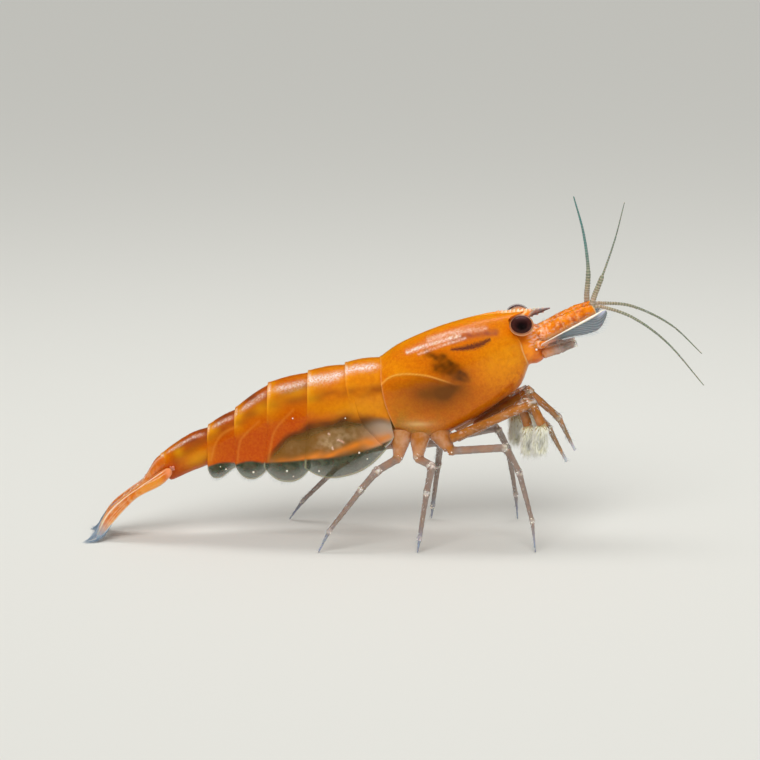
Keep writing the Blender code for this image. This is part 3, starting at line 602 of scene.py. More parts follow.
def living(name, ground, washes=(), mottles=(), under=(), grain=0.09, relief=0.006, roughness=0.28,
           coat=0.2, gloss=0.5, flesh=0.5, depth=0.5, alpha=1.0, clear_alpha=None, sheen=0.0):
    """Chitin or flesh: a ground colour, washes under its mottling, marks over it and a fine relief.

    under and washes hold (mark, colour, size of its break-up in mm or 0); mottles holds (colour,
    size in mm, strength); clear_alpha is the opacity where the mark "clear" is 1.
    """
    material = bpy.data.materials.new(name)
    material.use_nodes = True
    tree = material.node_tree
    shader = tree.nodes["Principled BSDF"]
    where = add(tree, "ShaderNodeTexCoord").outputs["Object"]
    layers = ([(*wash, 1.0) for wash in under] + [(None, *patch) for patch in mottles]
              + [(*wash, 1.0) for wash in washes])
    base = None
    for wash, paint, size, strength in layers:
        level = None
        if size:
            noise = add(tree, "ShaderNodeTexNoise", {"Vector": where, "Scale": per_mm(size), "Detail": 2.0,
                                                     "Roughness": 0.55})
            level = add(tree, "ShaderNodeMapRange", {"Value": noise.outputs["Fac"], "From Min": 0.38,
                                                     "From Max": 0.64, "To Max": strength}).outputs["Result"]
        if wash:
            seen = add(tree, "ShaderNodeAttribute", attribute_name=wash).outputs["Fac"]
            level = seen if level is None else add(tree, "ShaderNodeMath", {0: level, 1: seen},
                                                   operation="MULTIPLY").outputs["Value"]
        base = add(tree, "ShaderNodeMix", {MIX_SHARE: level, MIX_UNDER: base or rgba(ground),
                                           MIX_OVER: rgba(paint)}, data_type="RGBA").outputs[MIXED]
    if base is None:
        shader.inputs["Base Color"].default_value = rgba(ground)
    else:
        tree.links.new(base, shader.inputs["Base Color"])
    if relief:
        fine = add(tree, "ShaderNodeTexNoise", {"Vector": where, "Scale": per_mm(grain), "Detail": 3.0})
        bump = add(tree, "ShaderNodeBump", {"Height": fine.outputs["Fac"], "Distance": relief * MM,
                                            "Strength": 1.0})
        tree.links.new(bump.outputs["Normal"], shader.inputs["Normal"])
    if clear_alpha is None:
        shader.inputs["Alpha"].default_value = alpha
    else:
        clear = add(tree, "ShaderNodeAttribute", attribute_name="clear").outputs["Fac"]
        seen = add(tree, "ShaderNodeMapRange", {"Value": clear, "To Min": alpha, "To Max": clear_alpha})
        tree.links.new(seen.outputs["Result"], shader.inputs["Alpha"])
    for socket, value in (("Roughness", roughness), ("Coat Weight", coat), ("Coat Roughness", 0.12),
                          ("IOR", WET_CHITIN_IOR), ("Specular IOR Level", gloss), ("Sheen Weight", sheen),
                          ("Subsurface Weight", flesh),
                          ("Subsurface Scale", depth * MM), ("Subsurface Radius", (1.0, 0.35, 0.12))):
        shader.inputs[socket].default_value = value
    return material


# --------------------------------------------------------------------------- the pieces


def build_flesh(sizes, colours):
    """The soft body: one skin from the cheeks through the thorax and the abdomen to the tail."""
    line = course(FLESH)
    round_ring, full_ring = oval(0.92), oval(0.6)

    def place(u, v):
        x, top, foot, half = line(v).T
        share = fade(x, 1.0, -0.8) * fade(x, -10.4, -9.4)
        side, rise = (slim + (full - slim) * share for slim, full in
                      zip(round_ring(np.abs(2 * u - 1)), full_ring(np.abs(2 * u - 1))))
        middle, reach = (top + foot) / 2, (top - foot) / 2
        return np.stack((x, np.sign(0.5 - u) * half * side, middle + reach * rise), axis=-1)

    data = rolled("flesh", 120, 440, place)
    x, y, z = spots(data).T
    belly, flap = height_of(MUSCLE_EDGE, x), height_of(FLAP_EDGE, x) - 0.12
    abdomen = fade(x, 1.3, 0.7) * fade(x, -6.2, -5.4)
    under = abdomen * fade(z, belly + 0.06, belly - 0.1)
    emboss(data, 0.02 * ripple(x, y, z, 0.35) + 0.015 * ripple(x, y, z, 0.12, 3.0)
           - 0.12 * under * (1 - fade(z, flap + 0.5, flap + 0.3)))
    stripe_gap, _ = off_line(x, z, SIDE_STRIPE)
    strand = abdomen * fade(z, flap + 0.62, flap + 0.42) * fade(z, flap - 0.4, flap - 0.05)
    mark(data, "stripe", hump(stripe_gap, 0.3) * fade(x, 1.2, 0.2) * 0.9)
    mark(data, "edge", abdomen * hump(z - belly, 0.17))
    mark(data, "window", under)
    mark(data, "haze", under * fade(ripple(x, y, z, 0.42, 1.0), -0.25, 0.55) * fade(x, -4.6, -3.2))
    mark(data, "strand", strand)
    # Painted glints: white specks in the window of the flank
    mark(data, "painted_glint", under * fade(ripple(x, y, 2 * z, 0.16, 4.0), 0.35, 0.75)
         * spot(x, z, (-2.0, 5.5), (1.3, 0.5)))
    mark(data, "light", fade(x, 6.4, 7.4) * 0.8 * (1 - 0.8 * fade(x, 7.4, 7.8)))
    # Painted highlight: pale pink specks on the face
    mark(data, "pale_patch_and_painted_highlight", fade(x, 7.15, 7.5) * fade(z, 9.85, 10.15)
         * fade(ripple(0.8 * x, y, 2.0 * z, 0.09, 1.0), -0.3, 0.5) * 0.8)
    mark(data, "deep", fade(x, -3.0, -6.0) * 0.75 + 0.4 * fade(x, 7.4, 7.9))
    # Moist muscle: deep orange with a soft gloss, brown under the clear window of the flank; painted glints
    skin = living("muscle_under_clear_shell", colours.ring,
                  under=(("deep", colours.shell_deep, 0), ("light", colours.shell_light, 0)),
                  washes=(("stripe", colours.stripe, 0.5), ("window", "#80622a", 0), ("haze", "#d6b88e", 0.3),
                          ("edge", "#44260a", 0.5), ("strand", "#ee861e", 0.9), ("painted_glint", "#fff6ea", 0),
                          ("pale_patch_and_painted_highlight", "#f4cdbc", 0)),
                  mottles=((colours.shell_deep, 0.45, 0.5),), roughness=0.4, coat=0.15, depth=0.4)
    piece(data, ("thorax", "head"), skin)


def build_carapace(sizes, colours):
    """Shell of the cephalothorax, with its rims, its gill ridge and the eye notches."""
    back, hem, half_width = course(CARAPACE_BACK), course(CARAPACE_HEM), profile(CARAPACE_WIDTH)
    half_ring = oval(CARAPACE_SQUARE)

    def place(u, v):
        share = np.abs(2 * u - 1) * CARAPACE_OPEN
        side, rise = half_ring(share)
        top, foot, half = back(v), hem(v), half_width(v)
        x = (top[:, 0] + foot[:, 0]) / 2 + (top[:, 0] - foot[:, 0]) / 2 * rise
        z = (top[:, 1] + foot[:, 1]) / 2 + (top[:, 1] - foot[:, 1]) / 2 * rise
        y = np.sign(0.5 - u) * half * side
        front = fade(v, 0.72, 1.0)
        x = x + front * (0.06 * hump(z - 10.25, 0.3) - 0.16 * hump(z - 11.1, 0.35))
        x = x - fade(v, 0.12, 0.0) * 0.22 * np.sin(np.pi * np.clip((z - 6.0) / 3.2, 0, 1))
        eye_gap = np.hypot((x - EYE_CENTRE[0]) / 0.8, (z - EYE_CENTRE[2]) / 0.7)
        roof = fade(v, 0.78, 1.0) * fade(np.abs(y), 0.8, 0.12) * (rise > 0)
        y = y - np.sign(y) * 0.16 * fade(eye_gap, 1.2, 0.2) * front * (1 - roof)
        x, z = x + ORBIT_ROOF[0] * roof, z + ORBIT_ROOF[1] * roof
        return np.stack((x, y, z), axis=-1)

    data = rolled("carapace_shell", 200, 190, place)
    u, v = numbers(data, "u"), numbers(data, "v")
    x, y, z = spots(data).T
    flank = fade(np.abs(y), 0.35, 0.9)
    gill_gap, gill_share = off_line(x, z, GILL_LINE)
    ridge = hump(gill_gap, 0.035) * flank * fade(gill_share, 1.0, 0.75)
    foot_share = np.abs(2 * u - 1)
    hem_rim = fade(foot_share, 0.985, 1.0) + fade(v, 0.985, 1.0) + fade(v, 0.014, 0.0)
    groove = hump(gill_gap - 0.1, 0.06) * flank * (z < height_of(GILL_LINE, x))
    emboss(data, 0.02 * ridge - 0.012 * groove + 0.02 * np.clip(hem_rim, 0, 1)
           + 0.006 * ripple(x, y, z, 0.5) + 0.003 * ripple(x, y, z, 0.11, 2.0))
    below = fade(z - height_of(GILL_LINE, np.clip(x, 0.1, 3.7)), 0.08, -0.12)
    mark(data, "ridge", ridge * 0.75)
    front_hem = fade(v, 0.985, 1.0) * fade(z, 10.3, 10.0) * fade(z, 8.9, 9.2)
    low_hem = fade(foot_share, 0.975, 1.0) * fade(x, 4.2, 5.2)
    mark(data, "rim", 0.5 * front_hem + 0.15 * fade(v, 0.014, 0.0))
    feather = 1.0 + 0.12 * ripple(x, y, z, 0.3, 2.0)
    gills = (0.5 * spot(x, z, (2.2, 7.5), (2.3, 1.15), 0.06) * (0.3 + 0.7 * below)
             + 0.42 * spot(x, z, (2.9, 7.9), (1.6, 0.8), -0.15) * (0.25 + 0.75 * below))
    knot = 0.3 * spot(x, z, (3.3, 7.95), (0.9, 0.5), 0.1) * (1 + 0.3 * ripple(x, y, z, 0.3, 4.0))
    mark(data, "gill", flank * (feather * gills + knot
                                + 0.4 * spot(x, z, (3.85, 8.65), (0.65, 0.5), -0.6)))
    plumes = sum(np.exp(-(off_line(x + 0.06 * ripple(x, y, z, 0.15), z, line)[0] / width) ** 2)
                 for line, width in GUT_PLUMES)
    stomach = 0.72 * plumes + 0.6 * spot(x, z, (3.35, 9.0), (0.95, 0.55), -0.5)
    mark(data, "gut", flank * np.clip(stomach, 0, 0.95) * (0.85 + 0.2 * ripple(x, y, z, 0.12, 5.0)))
    dash_gap, dash_share = off_line(x, z, ((3.45, 9.93), (4.2, 10.02), (4.9, 10.18), (5.45, 10.44)))
    dash_half = 0.13 * np.sin(np.pi * np.clip(0.03 + 0.92 * dash_share ** 1.4, 0, 1)) ** 0.7
    inside = (dash_share > 0.005) * (dash_share < 0.995)
    mark(data, "dash", 0.85 * flank * inside * fade(dash_gap, dash_half + 0.02, 0.3 * dash_half)
         + 0.55 * low_hem)
    mark(data, "hatch", flank * inside * fade(dash_gap, dash_half + 0.1, dash_half - 0.02))
    veil_gap, _ = off_line(x, z, ((3.6, 10.35), (4.6, 10.62), (5.7, 10.72)))
    mark(data, "veil", flank * hump(veil_gap, 0.17) * (0.75 + 0.25 * ripple(x, y, z, 0.12, 1.0)))
    # Painted highlight: pale pink streaks along the shoulder of the carapace
    streaks = sum(level * np.exp(-(off_line(x, z, line)[0] / width) ** 2) for line, width, level in PAINTED_HIGHLIGHT_LINES)
    mark(data, "pale_patch_and_painted_highlight", streaks * (0.8 + 0.25 * ripple(1.5 * x, 3 * y, 3 * z, 0.22)))
    mark(data, "light", 0.85 * spot(x, z, (6.2, 9.4), (1.4, 1.3)) + 0.5 * spot(x, z, (0.9, 8.9), (1.0, 0.5))
         + 0.45 * spot(x, z, (1.0, 6.9), (1.1, 0.7))
         + 0.6 * fade(np.abs(y), 0.9, 0.2))
    mark(data, "low", 0.7 * fade(z, 7.6, 6.2) * fade(x, 4.4, 1.5))
    # Painted highlight: a pale oval low on the rear carapace, and a paler band along the lower hem
    mark(data, "low_painted_highlight", 0.55 * spot(x, z, (1.9, 6.22), (0.6, 0.12), 0.02)
         + 0.25 * spot(x, z, (1.8, 6.1), (1.1, 0.4))
         + 0.55 * fade(z, 5.9, 5.3) * fade(x, 3.8, 2.6) * (0.8 + 0.3 * ripple(x, y, z, 0.3)))
    mark(data, "deep", 1.0 * spot(x, z, (6.55, 8.3), (0.95, 0.38), 0.75) + 0.25 * fade(z, 6.6, 5.6))
    # Chitin over orange flesh: a wet gloss, deep even orange, soft dark organs and painted highlights
    shell = living("orange_chitin_of_the_carapace", colours.shell,
                   under=(("light", colours.shell_light, 0), ("deep", "#a23c0a", 0.5),
                          ("low", "#93700c", 0.9)),
                   washes=(("gill", colours.gill, 0), ("gut", colours.gut, 0), ("veil", "#984e36", 0),
                           ("hatch", colours.dash, 0.06), ("dash", colours.dash, 0), ("low_painted_highlight", "#e2b274", 0),
                           ("pale_patch_and_painted_highlight", "#eca88a", 0), ("pale_patch_and_painted_highlight", "#ffeae4", 0.1), ("ridge", "#f6b04c", 0),
                           ("rim", colours.cream, 0)),
                   mottles=((colours.shell_deep, 0.25, 0.3), (colours.shell_light, 0.1, 0.25)),
                   roughness=0.3, coat=0.15, gloss=0.22, depth=0.3)
    piece(data, ("carapace",), shell, sizes.shell_wall)
    build_rostrum(colours)


def build_rostrum(colours):
    """Toothed rostrum, which runs back as a low keel along the carapace."""
    top, height = course(ROSTRUM_TOP), profile(ROSTRUM_HEIGHT)

    def middle(share):
        edge = top(share)
        return np.stack((edge[:, 0], 0 * share, edge[:, 1] - height(share)), axis=-1)

    strand = Strand(middle, rounded(ROSTRUM_WIDTH, 0.01), rounded(ROSTRUM_HEIGHT, 0.01), steps=560)
    data = strand.skin("rostrum_keel", 32)
    turn = 2 * np.pi * numbers(data, "u")
    x, y, z = spots(data).T
    rise = np.sin(turn) * (1.0 if strand.up[0, 2] > 0 else -1.0)
    crest, keel = np.clip(rise, 0, 1) ** 6, np.clip(-rise, 0, 1) ** 6
    phase = np.mod((x - TEETH_FROM) / ((TEETH_TO - TEETH_FROM) / TEETH), 1.0)
    tooth = np.where((x > TEETH_FROM) & (x < TEETH_TO), phase ** 1.6 * fade(phase, 1.0, 0.86), 0)
    low_phase = np.mod((x - LOW_TEETH_FROM) / LOW_TOOTH_PITCH, 1.0)
    low_tooth = np.where((x > LOW_TEETH_FROM) & (x < LOW_TEETH_FROM + LOW_TEETH * LOW_TOOTH_PITCH),
                         low_phase ** 1.6 * fade(low_phase, 1.0, 0.85), 0)
    places = spots(data)
    places[:, 2] += TOOTH_HEIGHT * tooth * crest - LOW_TOOTH_HEIGHT * low_tooth * keel
    places[:, 0] += 0.5 * TOOTH_HEIGHT * tooth * crest
    places[:, 1] += np.sign(y) * 0.03 * hump(rise, 0.25) * fade(x, 6.6, 7.2)
    move(data, places)
    # Painted highlight: a pale crest and white points on the teeth
    mark(data, "rim", np.clip(rise, 0, 1) ** 3 * fade(x, 5.6, 6.2) * (0.3 + 0.7 * fade(tooth, 0.1, 0.7))
         + fade(low_tooth, 0.2, 0.8) * keel)
    mark(data, "tip", 0.95 * fade(x + 0.25 * ripple(x, y, z, 0.2), 7.2, 7.8) + 0.6 * fade(rise, -0.4, -0.9)
         * fade(x, 6.6, 7.2))
    # Painted highlight: pale specks along the top of the rostrum
    mark(data, "pale_patch_and_painted_highlight", fade(x, 5.8, 6.6) * fade(ripple(x, y, z, 0.1, 3.0), -0.1, 0.5) * 0.8)
    # Chitin of the rostrum: orange that thins to a smoky tip, with painted highlights on its crest and teeth
    skin = living("chitin_of_the_rostrum", colours.shell_light,
                  washes=(("pale_patch_and_painted_highlight", "#ffe2b8", 0), ("tip", "#625860", 0), ("rim", "#efdcc6", 0)),
                  mottles=(("#ee8414", 0.15, 0.6),), roughness=0.3, depth=0.3)
    piece(data, ("rostrum",), skin)


def build_eyes(sizes, colours):
    """Eyes of three nested layers, the outer ones see-through, on short stalks with a pale cup."""
    # Cornea: a clear brown glaze with a sharp gloss over a darker layer and a black core, its top a painted
    # sheen
    cornea = living("clear_cornea", "#5a302c", washes=(("rim", "#96747a", 0),),
                    mottles=(("#4c2c26", 0.12, 0.5),), alpha=0.34, clear_alpha=0.02, relief=0.0,
                    roughness=0.06, coat=0.3, gloss=0.25, flesh=0.0)
    # Pigment layer: a dull dark brown ring round the pupil, seen through the cornea
    pigment = living("brown_eye_pigment", "#3c2022", alpha=0.9, relief=0.0, flesh=0.0, coat=0.0, gloss=0.1,
                     roughness=0.6, washes=(("pupil", colours.eye, 0),), mottles=(("#28120f", 0.1, 0.6),))
    # Core: a matt near-black ball that gives the pupil its depth
    core = living("black_eye_core", colours.eye, relief=0.0, flesh=0.0, coat=0.0, gloss=0.1, roughness=0.6,
                  mottles=(("#120808", 0.2, 0.5),))
    layers = (("eye_cornea", 1.0, cornea), ("eye_pigment", 0.87, pigment), ("eye_core", 0.52, core))
    # Eyestalk: soft orange chitin that ends in a paler, pinkish cup round the eye
    stalk_skin = living("chitin_of_the_eyestalk", "#dd8a3c",
                        washes=(("rim", "#eea878", 0),), mottles=(("#c87a58", 0.2, 0.5),), coat=0.3)
    for side_name, side in SIDES:
        x, y, z = EYE_CENTRE
        centre = Vector((x + SEAM_X, side * y, z)) * MM
        for name, scale, material in layers:
            mesh = bmesh.new()
            bmesh.ops.create_uvsphere(mesh, u_segments=64, v_segments=40, radius=MM * scale)
            bmesh.ops.scale(mesh, verts=mesh.verts, vec=EYE_RADII)
            bmesh.ops.translate(mesh, verts=mesh.verts, vec=centre)
            data = bpy.data.meshes.new(f"{name}_{side_name}")
            mesh.to_mesh(data)
            mesh.free()
            data.shade_smooth()
            places = spots(data)
            aside = np.hypot((places[:, 0] - x) / EYE_RADII[0], (places[:, 2] - z) / EYE_RADII[2])
            outward = fade(places[:, 1] * side, y - 0.1, y + 0.2)
            mark(data, "pupil", outward * hump(aside, 0.52) * 1.4)
            mark(data, "clear", outward * hump(aside, 0.7))
            # Painted sheen: the top of the cornea is paler grey-pink
            mark(data, "rim", fade(places[:, 2], z + 0.25, z + 0.5) * 0.8)
            piece(data, (f"eye_{side_name}",), material)
        stalk = Strand(course(mirrored(EYESTALK, side)), rounded((0.14, 0.2, 0.3, 0.44, 0.57, 0.61), 0.02),
                       rounded((0.14, 0.2, 0.28, 0.38, 0.47, 0.51), 0.02), flat=(1.0, 0.0, 0.0), steps=60)
        data = stalk.skin(f"eyestalk_cup_{side_name}", 40)
        mark(data, "rim", fade(numbers(data, "v"), 0.72, 0.95))
        piece(data, (f"eyestalk_{side_name}",), stalk_skin)


def ring_place(number, reach_front):
    """Surface of one of the first five rings: u over the back from side to side, v front to rear."""
    (top_a, foot_a, width_a), (top_b, foot_b, width_b) = SEAMS[number - 1:number + 1]
    depth, skew, bulge, spread = (row[number - 1] for row in (LOBE_DEPTH, LOBE_SKEW, LOBE_BULGE,
                                                              LOBE_SPREAD))
    top_a, foot_a, top_b, foot_b = (np.array(end) for end in (top_a, foot_a, top_b, foot_b))

    def place(u, v):
        down = np.abs(2 * u - 1)
        round_part = np.clip(down / ARCH_SHARE, 0, 1)
        share_down = np.where(down < ARCH_SHARE, ARCH * (1 - np.cos(round_part * np.pi / 2)),
                              ARCH + (1 - ARCH) * (down - ARCH_SHARE) / (1 - ARCH_SHARE))
        tuck = reach_front * (1 - fade(share_down, 0.35, 0.75))
        share = v * (1 + tuck) - tuck
        inside = np.clip(share, 0, 1)
        step = STEP * (1 - 0.8 * fade(share_down, 0.12, 0.45))
        crown = CROWN * np.sin(np.pi * inside) - STEP * (1 - share)
        hang = depth * (1 - np.abs(2 * inside ** skew - 1) ** 2.4)
        top = top_a + (top_b - top_a) * share[:, None]
        foot = foot_a + (foot_b - foot_a) * share[:, None]
        curve = 1 + (SEAM_CURVE - 1) * (np.clip(share, 0, 1) if number == 1 else 1.0)
        x = top[:, 0] + (foot[:, 0] - top[:, 0]) * share_down ** curve
        x = x + spread * (0.5 - share) * fade(share_down, 0.5, 1.0)
        z_top, z_foot = top[:, 1] + crown, foot[:, 1] - hang
        z = z_top + (z_foot - z_top) * share_down
        out = width_a + (width_b - width_a) * share - step * (1 - share) / 2 + bulge * np.sin(np.pi * inside)
        if number == 2:
            out = out + 0.16 * share_down ** 2 * (1 - share)
        if number == 1:
            out = out - 0.1 * fade(share_down, 0.5, 1.0)
        out = np.where(down < ARCH_SHARE, out * np.sin(round_part * np.pi / 2),
                       out - FOOT_TUCK * share_down ** 4)
        return np.stack((x, np.sign(0.5 - u) * out, z), axis=-1)
    return place


def build_abdomen(sizes, colours):
    """Six rings of the abdomen, thin shells whose side flaps are clear below the muscle."""
    # Thin wet chitin: orange over the muscle, smoky olive where it hangs free, with a painted highlight band
    shell = living("clear_orange_chitin_of_the_rings", colours.ring,
                   under=(("deep", colours.shell_deep, 0), ("seam", colours.shell_light, 0)),
                   washes=(("patch", "#7a3820", 0), ("stripe", colours.stripe, 0), ("golden", "#f4a80c", 0),
                           ("window", "#98621c", 0), ("murk", "#444218", 0), ("cloud", "#b08c60", 0),
                           ("cloud", "#d8b48a", 0.3), ("haze", "#c4a690", 0), ("edge", "#4c280e", 0),
                           ("strand", "#ee8622", 0),
                           ("flap", colours.olive, 0),
                           ("fleck", "#54624e", 0.3), ("pale_patch_and_painted_highlight", "#f0aa8a", 0), ("pale_patch_and_painted_highlight", "#fff0ea", 0.11),
                           ("line", "#f6a03c", 0),
                           ("rim", "#b9b48e", 0)),
                   mottles=((colours.shell_deep, 0.25, 0.3), (colours.shell_light, 0.12, 0.14)),
                   relief=0.004, roughness=0.28, coat=0.12, gloss=0.2, flesh=0.3, depth=0.3, alpha=0.85,
                   clear_alpha=0.1)
    for number in range(1, 6):
        place = ring_place(number, TUCK_UNDER if number > 1 else 0.1)
        data = rolled(f"ring_shell_{number}", 200, 72, place)
        mark_ring(data, number)
        piece(data, (f"abdomen_{number}",), shell, sizes.fin_wall)
    back, hem, half = course(SIXTH_BACK), course(SIXTH_HEM), profile(SIXTH_WIDTH)
    half_ring = oval(1.0)

    def place(u, v):
        side, rise = half_ring(np.abs(2 * u - 1))
        top, foot = back(v), hem(v)
        middle, reach = (top + foot) / 2, (top - foot) / 2
        return np.stack((middle[:, 0] + reach[:, 0] * rise, np.sign(0.5 - u) * half(v) * side,
                         middle[:, 1] + reach[:, 1] * rise), axis=-1)

    data = rolled("ring_shell_6", 150, 90, place)
    mark_ring(data, 6)
    piece(data, ("abdomen_6",), shell, sizes.fin_wall)


def mark_ring(data, number):
    """Rims, clear flap, window, stripes, painted highlight band and painted glints of one ring of the
    abdomen.
    """
    u, v = numbers(data, "u"), numbers(data, "v")
    x, y, z = spots(data).T
    down = np.abs(2 * u - 1)
    hung = number < 6
    belly = height_of(MUSCLE_EDGE, x) + 0.1 * ripple(x, y, z, 0.45, 1.0)
    flap_edge = height_of(FLAP_EDGE, x) + (0.16 * np.sin(np.pi * v) - 0.1 if number > 3 else 0.0)
    rear = fade(v, 0.93, 0.985)
    over = fade(down, 0.5, 0.15)
    foot = fade(down, 0.98, 0.997) if hung else 0 * x
    emboss(data, 0.02 * rear * over + 0.014 * foot + 0.003 * ripple(x, y, z, 0.14, number)
           + 0.005 * over * ripple(1.4 * x, 2 * y, 2 * z, 0.08, number))
    window = fade(z, belly + 0.15, belly - 0.35) * fade(x, -5.9, -5.2) if number < 4 else 0 * x
    flap = fade(z, flap_edge + 0.05, flap_edge - 0.1) if hung else 0 * x
    low_rim = np.maximum(foot, fade(v, 0.96, 0.99) * flap) if hung else 0 * x
    mark(data, "rim", 0.75 * low_rim)
    arcs = sum(np.exp(-(off_line(x, z, line)[0] / 0.06) ** 2) for line in FLANK_ARCS)
    mark(data, "line", np.maximum(rear * (1 - flap) * 0.6 * fade(down, 0.4, 0.1), 0.25 * arcs))
    inside = window * (1 - flap)
    strand_gap, _ = off_line(x, z + 0.1 * ripple(x, y, z, 0.5, 2.0), STRAND_LINE)
    strand = inside * hump(strand_gap, 0.24) * (0.75 + 0.25 * ripple(x, y, z, 0.22))
    haze = inside * fade(x, -1.3, 0.3) * 0.85
    cloud = inside * np.clip(0.7 * spot(x, z, (-2.35, 5.4), (0.75, 0.45), 0.35)
                             + 0.15 * spot(x, z, (-4.3, 5.0), (0.6, 0.35))
                             + 0.3 * spot(x, z, (-1.1, 5.75), (0.5, 0.3)), 0, 1)
    murk = inside * np.clip(0.5 + 0.35 * ripple(x, y, z, 0.7, 4.0)
                            + 0.5 * fade(z, belly - 0.6, belly - 0.1), 0, 1)
    murk = murk * (0.45 + 0.55 * fade(x, -4.6, -2.8))
    # Painted glints: short bright lines in the window of the flank
    painted_glint = inside * sum(np.exp(-(off_line(x, z, line)[0] / 0.03) ** 2) for line in WINDOW_PAINTED_GLINTS)
    mark(data, "window", window)
    mark(data, "murk", murk)
    mark(data, "strand", strand)
    mark(data, "haze", haze)
    mark(data, "cloud", cloud)
    edge_gap = z - belly + 0.02 - 0.1 * ripple(x, y, z, 0.6, 3.0)
    mark(data, "edge", (number < 4) * hump(edge_gap, 0.22) * fade(x, -5.9, -5.0)
         * fade(x, 0.8, -0.8) * (0.75 + 0.2 * ripple(x, y, z, 0.25)))
    mark(data, "flap", flap)
    mark(data, "fleck", 0.5 * flap)
    mark(data, "clear", 0.3 * inside * (1 - np.clip(haze + strand + painted_glint, 0, 1))
         + 0.4 * flap * fade(down, 0.84, 0.97))
    low = fade(z, belly + 2.2, belly + 0.6)
    mark(data, "deep", fade(x, -1.0, -6.0) * 0.8 * (1 - 0.8 * rear * over) + 0.45 * low * fade(x, -0.5, -4.0))
    mark(data, "seam", 0.85 * fade(v, 0.7, 0.97) * over + 0.6 * spot(x, z, (-9.1, 4.3), (0.7, 0.35), 0.5))
    stripe_gap, _ = off_line(x, z, SIDE_STRIPE)
    mark(data, "stripe", 0.72 * hump(stripe_gap, 0.28) * (1 - 0.5 * rear)
         * np.clip(0.7 + 0.45 * ripple(1.2 * x, y, 2 * z, 0.4, 2.0), 0, 1))
    mark(data, "golden", 0.45 * spot(x, z, (-9.1, 4.25), (0.75, 0.5), 0.4)
         + 0.5 * spot(x, z, (-10.1, 4.55), (0.3, 0.3))
         + 0.4 * spot(x, z, (-4.1, 7.75), (0.6, 0.3), 0.3) + 0.4 * spot(x, z, (-5.9, 6.9), (0.5, 0.3), 0.4)
         + 0.3 * spot(x, z, (-1.4, 7.0), (2.2, 0.35))
         + 0.5 * fade(v, 0.4, 0.95) * hump(down - 0.24, 0.14) * (1 < number < 6)
         * (0.7 + 0.4 * ripple(x, y, z, 0.3, 6.0)))
    back_gap, _ = off_line(x, z, BACK_STRIPE)
    mark(data, "patch", 0.95 * hump(back_gap + 0.04, 0.29) * fade(v, 0.86, 0.6) * (number > 2)
         * np.clip(0.75 + 0.35 * ripple(x, y, 1.6 * z, 0.28, 1.0), 0, 1))
    # Painted highlight: a pale band along the round back of each ring, with painted glints at the seam
    # notches
    painted_highlight_line = 0.155 + 0.012 * ripple(x, 0 * y, 0 * z, 0.5, number)
    band = hump(down - painted_highlight_line, 0.04 if number < 3 else 0.034)
    painted_highlight_spread = fade(v, 0.04, 0.3) * (0.85 + 0.15 * ripple(x, y, z, 0.3, 1.0))
    painted_highlight_spread = painted_highlight_spread * (fade(v, 0.95, 0.7) if number > 2 else 1.0)
    notch_painted_glint = hump(down - 0.13, 0.06) * fade(v, 0.9, 0.96)
    mark(data, "pale_patch_and_painted_highlight", band * painted_highlight_spread * (0.85 if number < 3 else 0.6) + 0.7 * notch_painted_glint + 0.9 * painted_glint)


def build_swimmerets(sizes, colours):
    """Five pairs of swimmerets: an orange base and a clear two-bladed paddle with a midrib."""
    # Very thin wet chitin: smoky and see-through, with a pale edge, an orange root and a painted glint
    paddle = living("clear_chitin_of_the_swimmerets", colours.smoke,
                    washes=(("base", "#d9823c", 0.0), ("rim", "#b9c4bd", 0), ("painted_glint", "#f4efe6", 0.1)),
                    mottles=(("#4f5a4c", 0.3, 0.5),), alpha=0.55, flesh=0.2, coat=0.6, roughness=0.2)
    for number, (root, tip, half) in enumerate(SWIMMERETS, start=1):
        for side_name, side in SIDES:
            line = course([(root[0], side * (SWIMMERET_Y + 0.35), root[1]),
                           ((root[0] + tip[0]) / 2 + 0.1, side * (SWIMMERET_Y + 0.2), (root[1] + tip[1]) / 2),
                           (tip[0], side * SWIMMERET_Y, tip[1])])
            widths = rounded((0.55 * half, 0.6 * half, half, 0.95 * half, 0.55 * half, 0.1), 0.04)
            heights = rounded((0.16, 0.15, 0.06, 0.045, 0.035, 0.02), 0.04)
            strand = Strand(line, widths, heights, flat=(0.6, 0.0, -0.8), steps=90)
            data = strand.skin(f"swimmeret_blade_{number}_{side_name}", 40)
            u, v = numbers(data, "u"), numbers(data, "v")
            across = np.cos(2 * np.pi * u)
            emboss(data, 0.03 * hump(across, 0.12) * fade(v, 1.0, 0.4)
                   + 0.006 * np.sin(40 * v + 6 * across))
            mark(data, "base", fade(v, 0.5, 0.25))
            mark(data, "rim", fade(np.abs(across), 0.93, 1.0) * 0.8)
            # Painted glint: a pale band across the paddle
            mark(data, "painted_glint", hump(v - 0.34, 0.05) * 0.9)
            piece(data, (f"swimmeret_{number}_{side_name}",), paddle)


def uropod_matrix(side):
    """Place of an outer uropod's own x-y plane, whose blade runs along +X."""
    x, y, z = OUTER_UROPOD_ROOT
    pitch = Matrix.Rotation(math.pi - OUTER_UROPOD_PITCH, 4, "Y")
    lean = Matrix.Rotation(-math.pi / 2 - side * OUTER_UROPOD_LEAN, 4, "X")
    return Matrix.Translation((x, side * y, z)) @ pitch @ lean


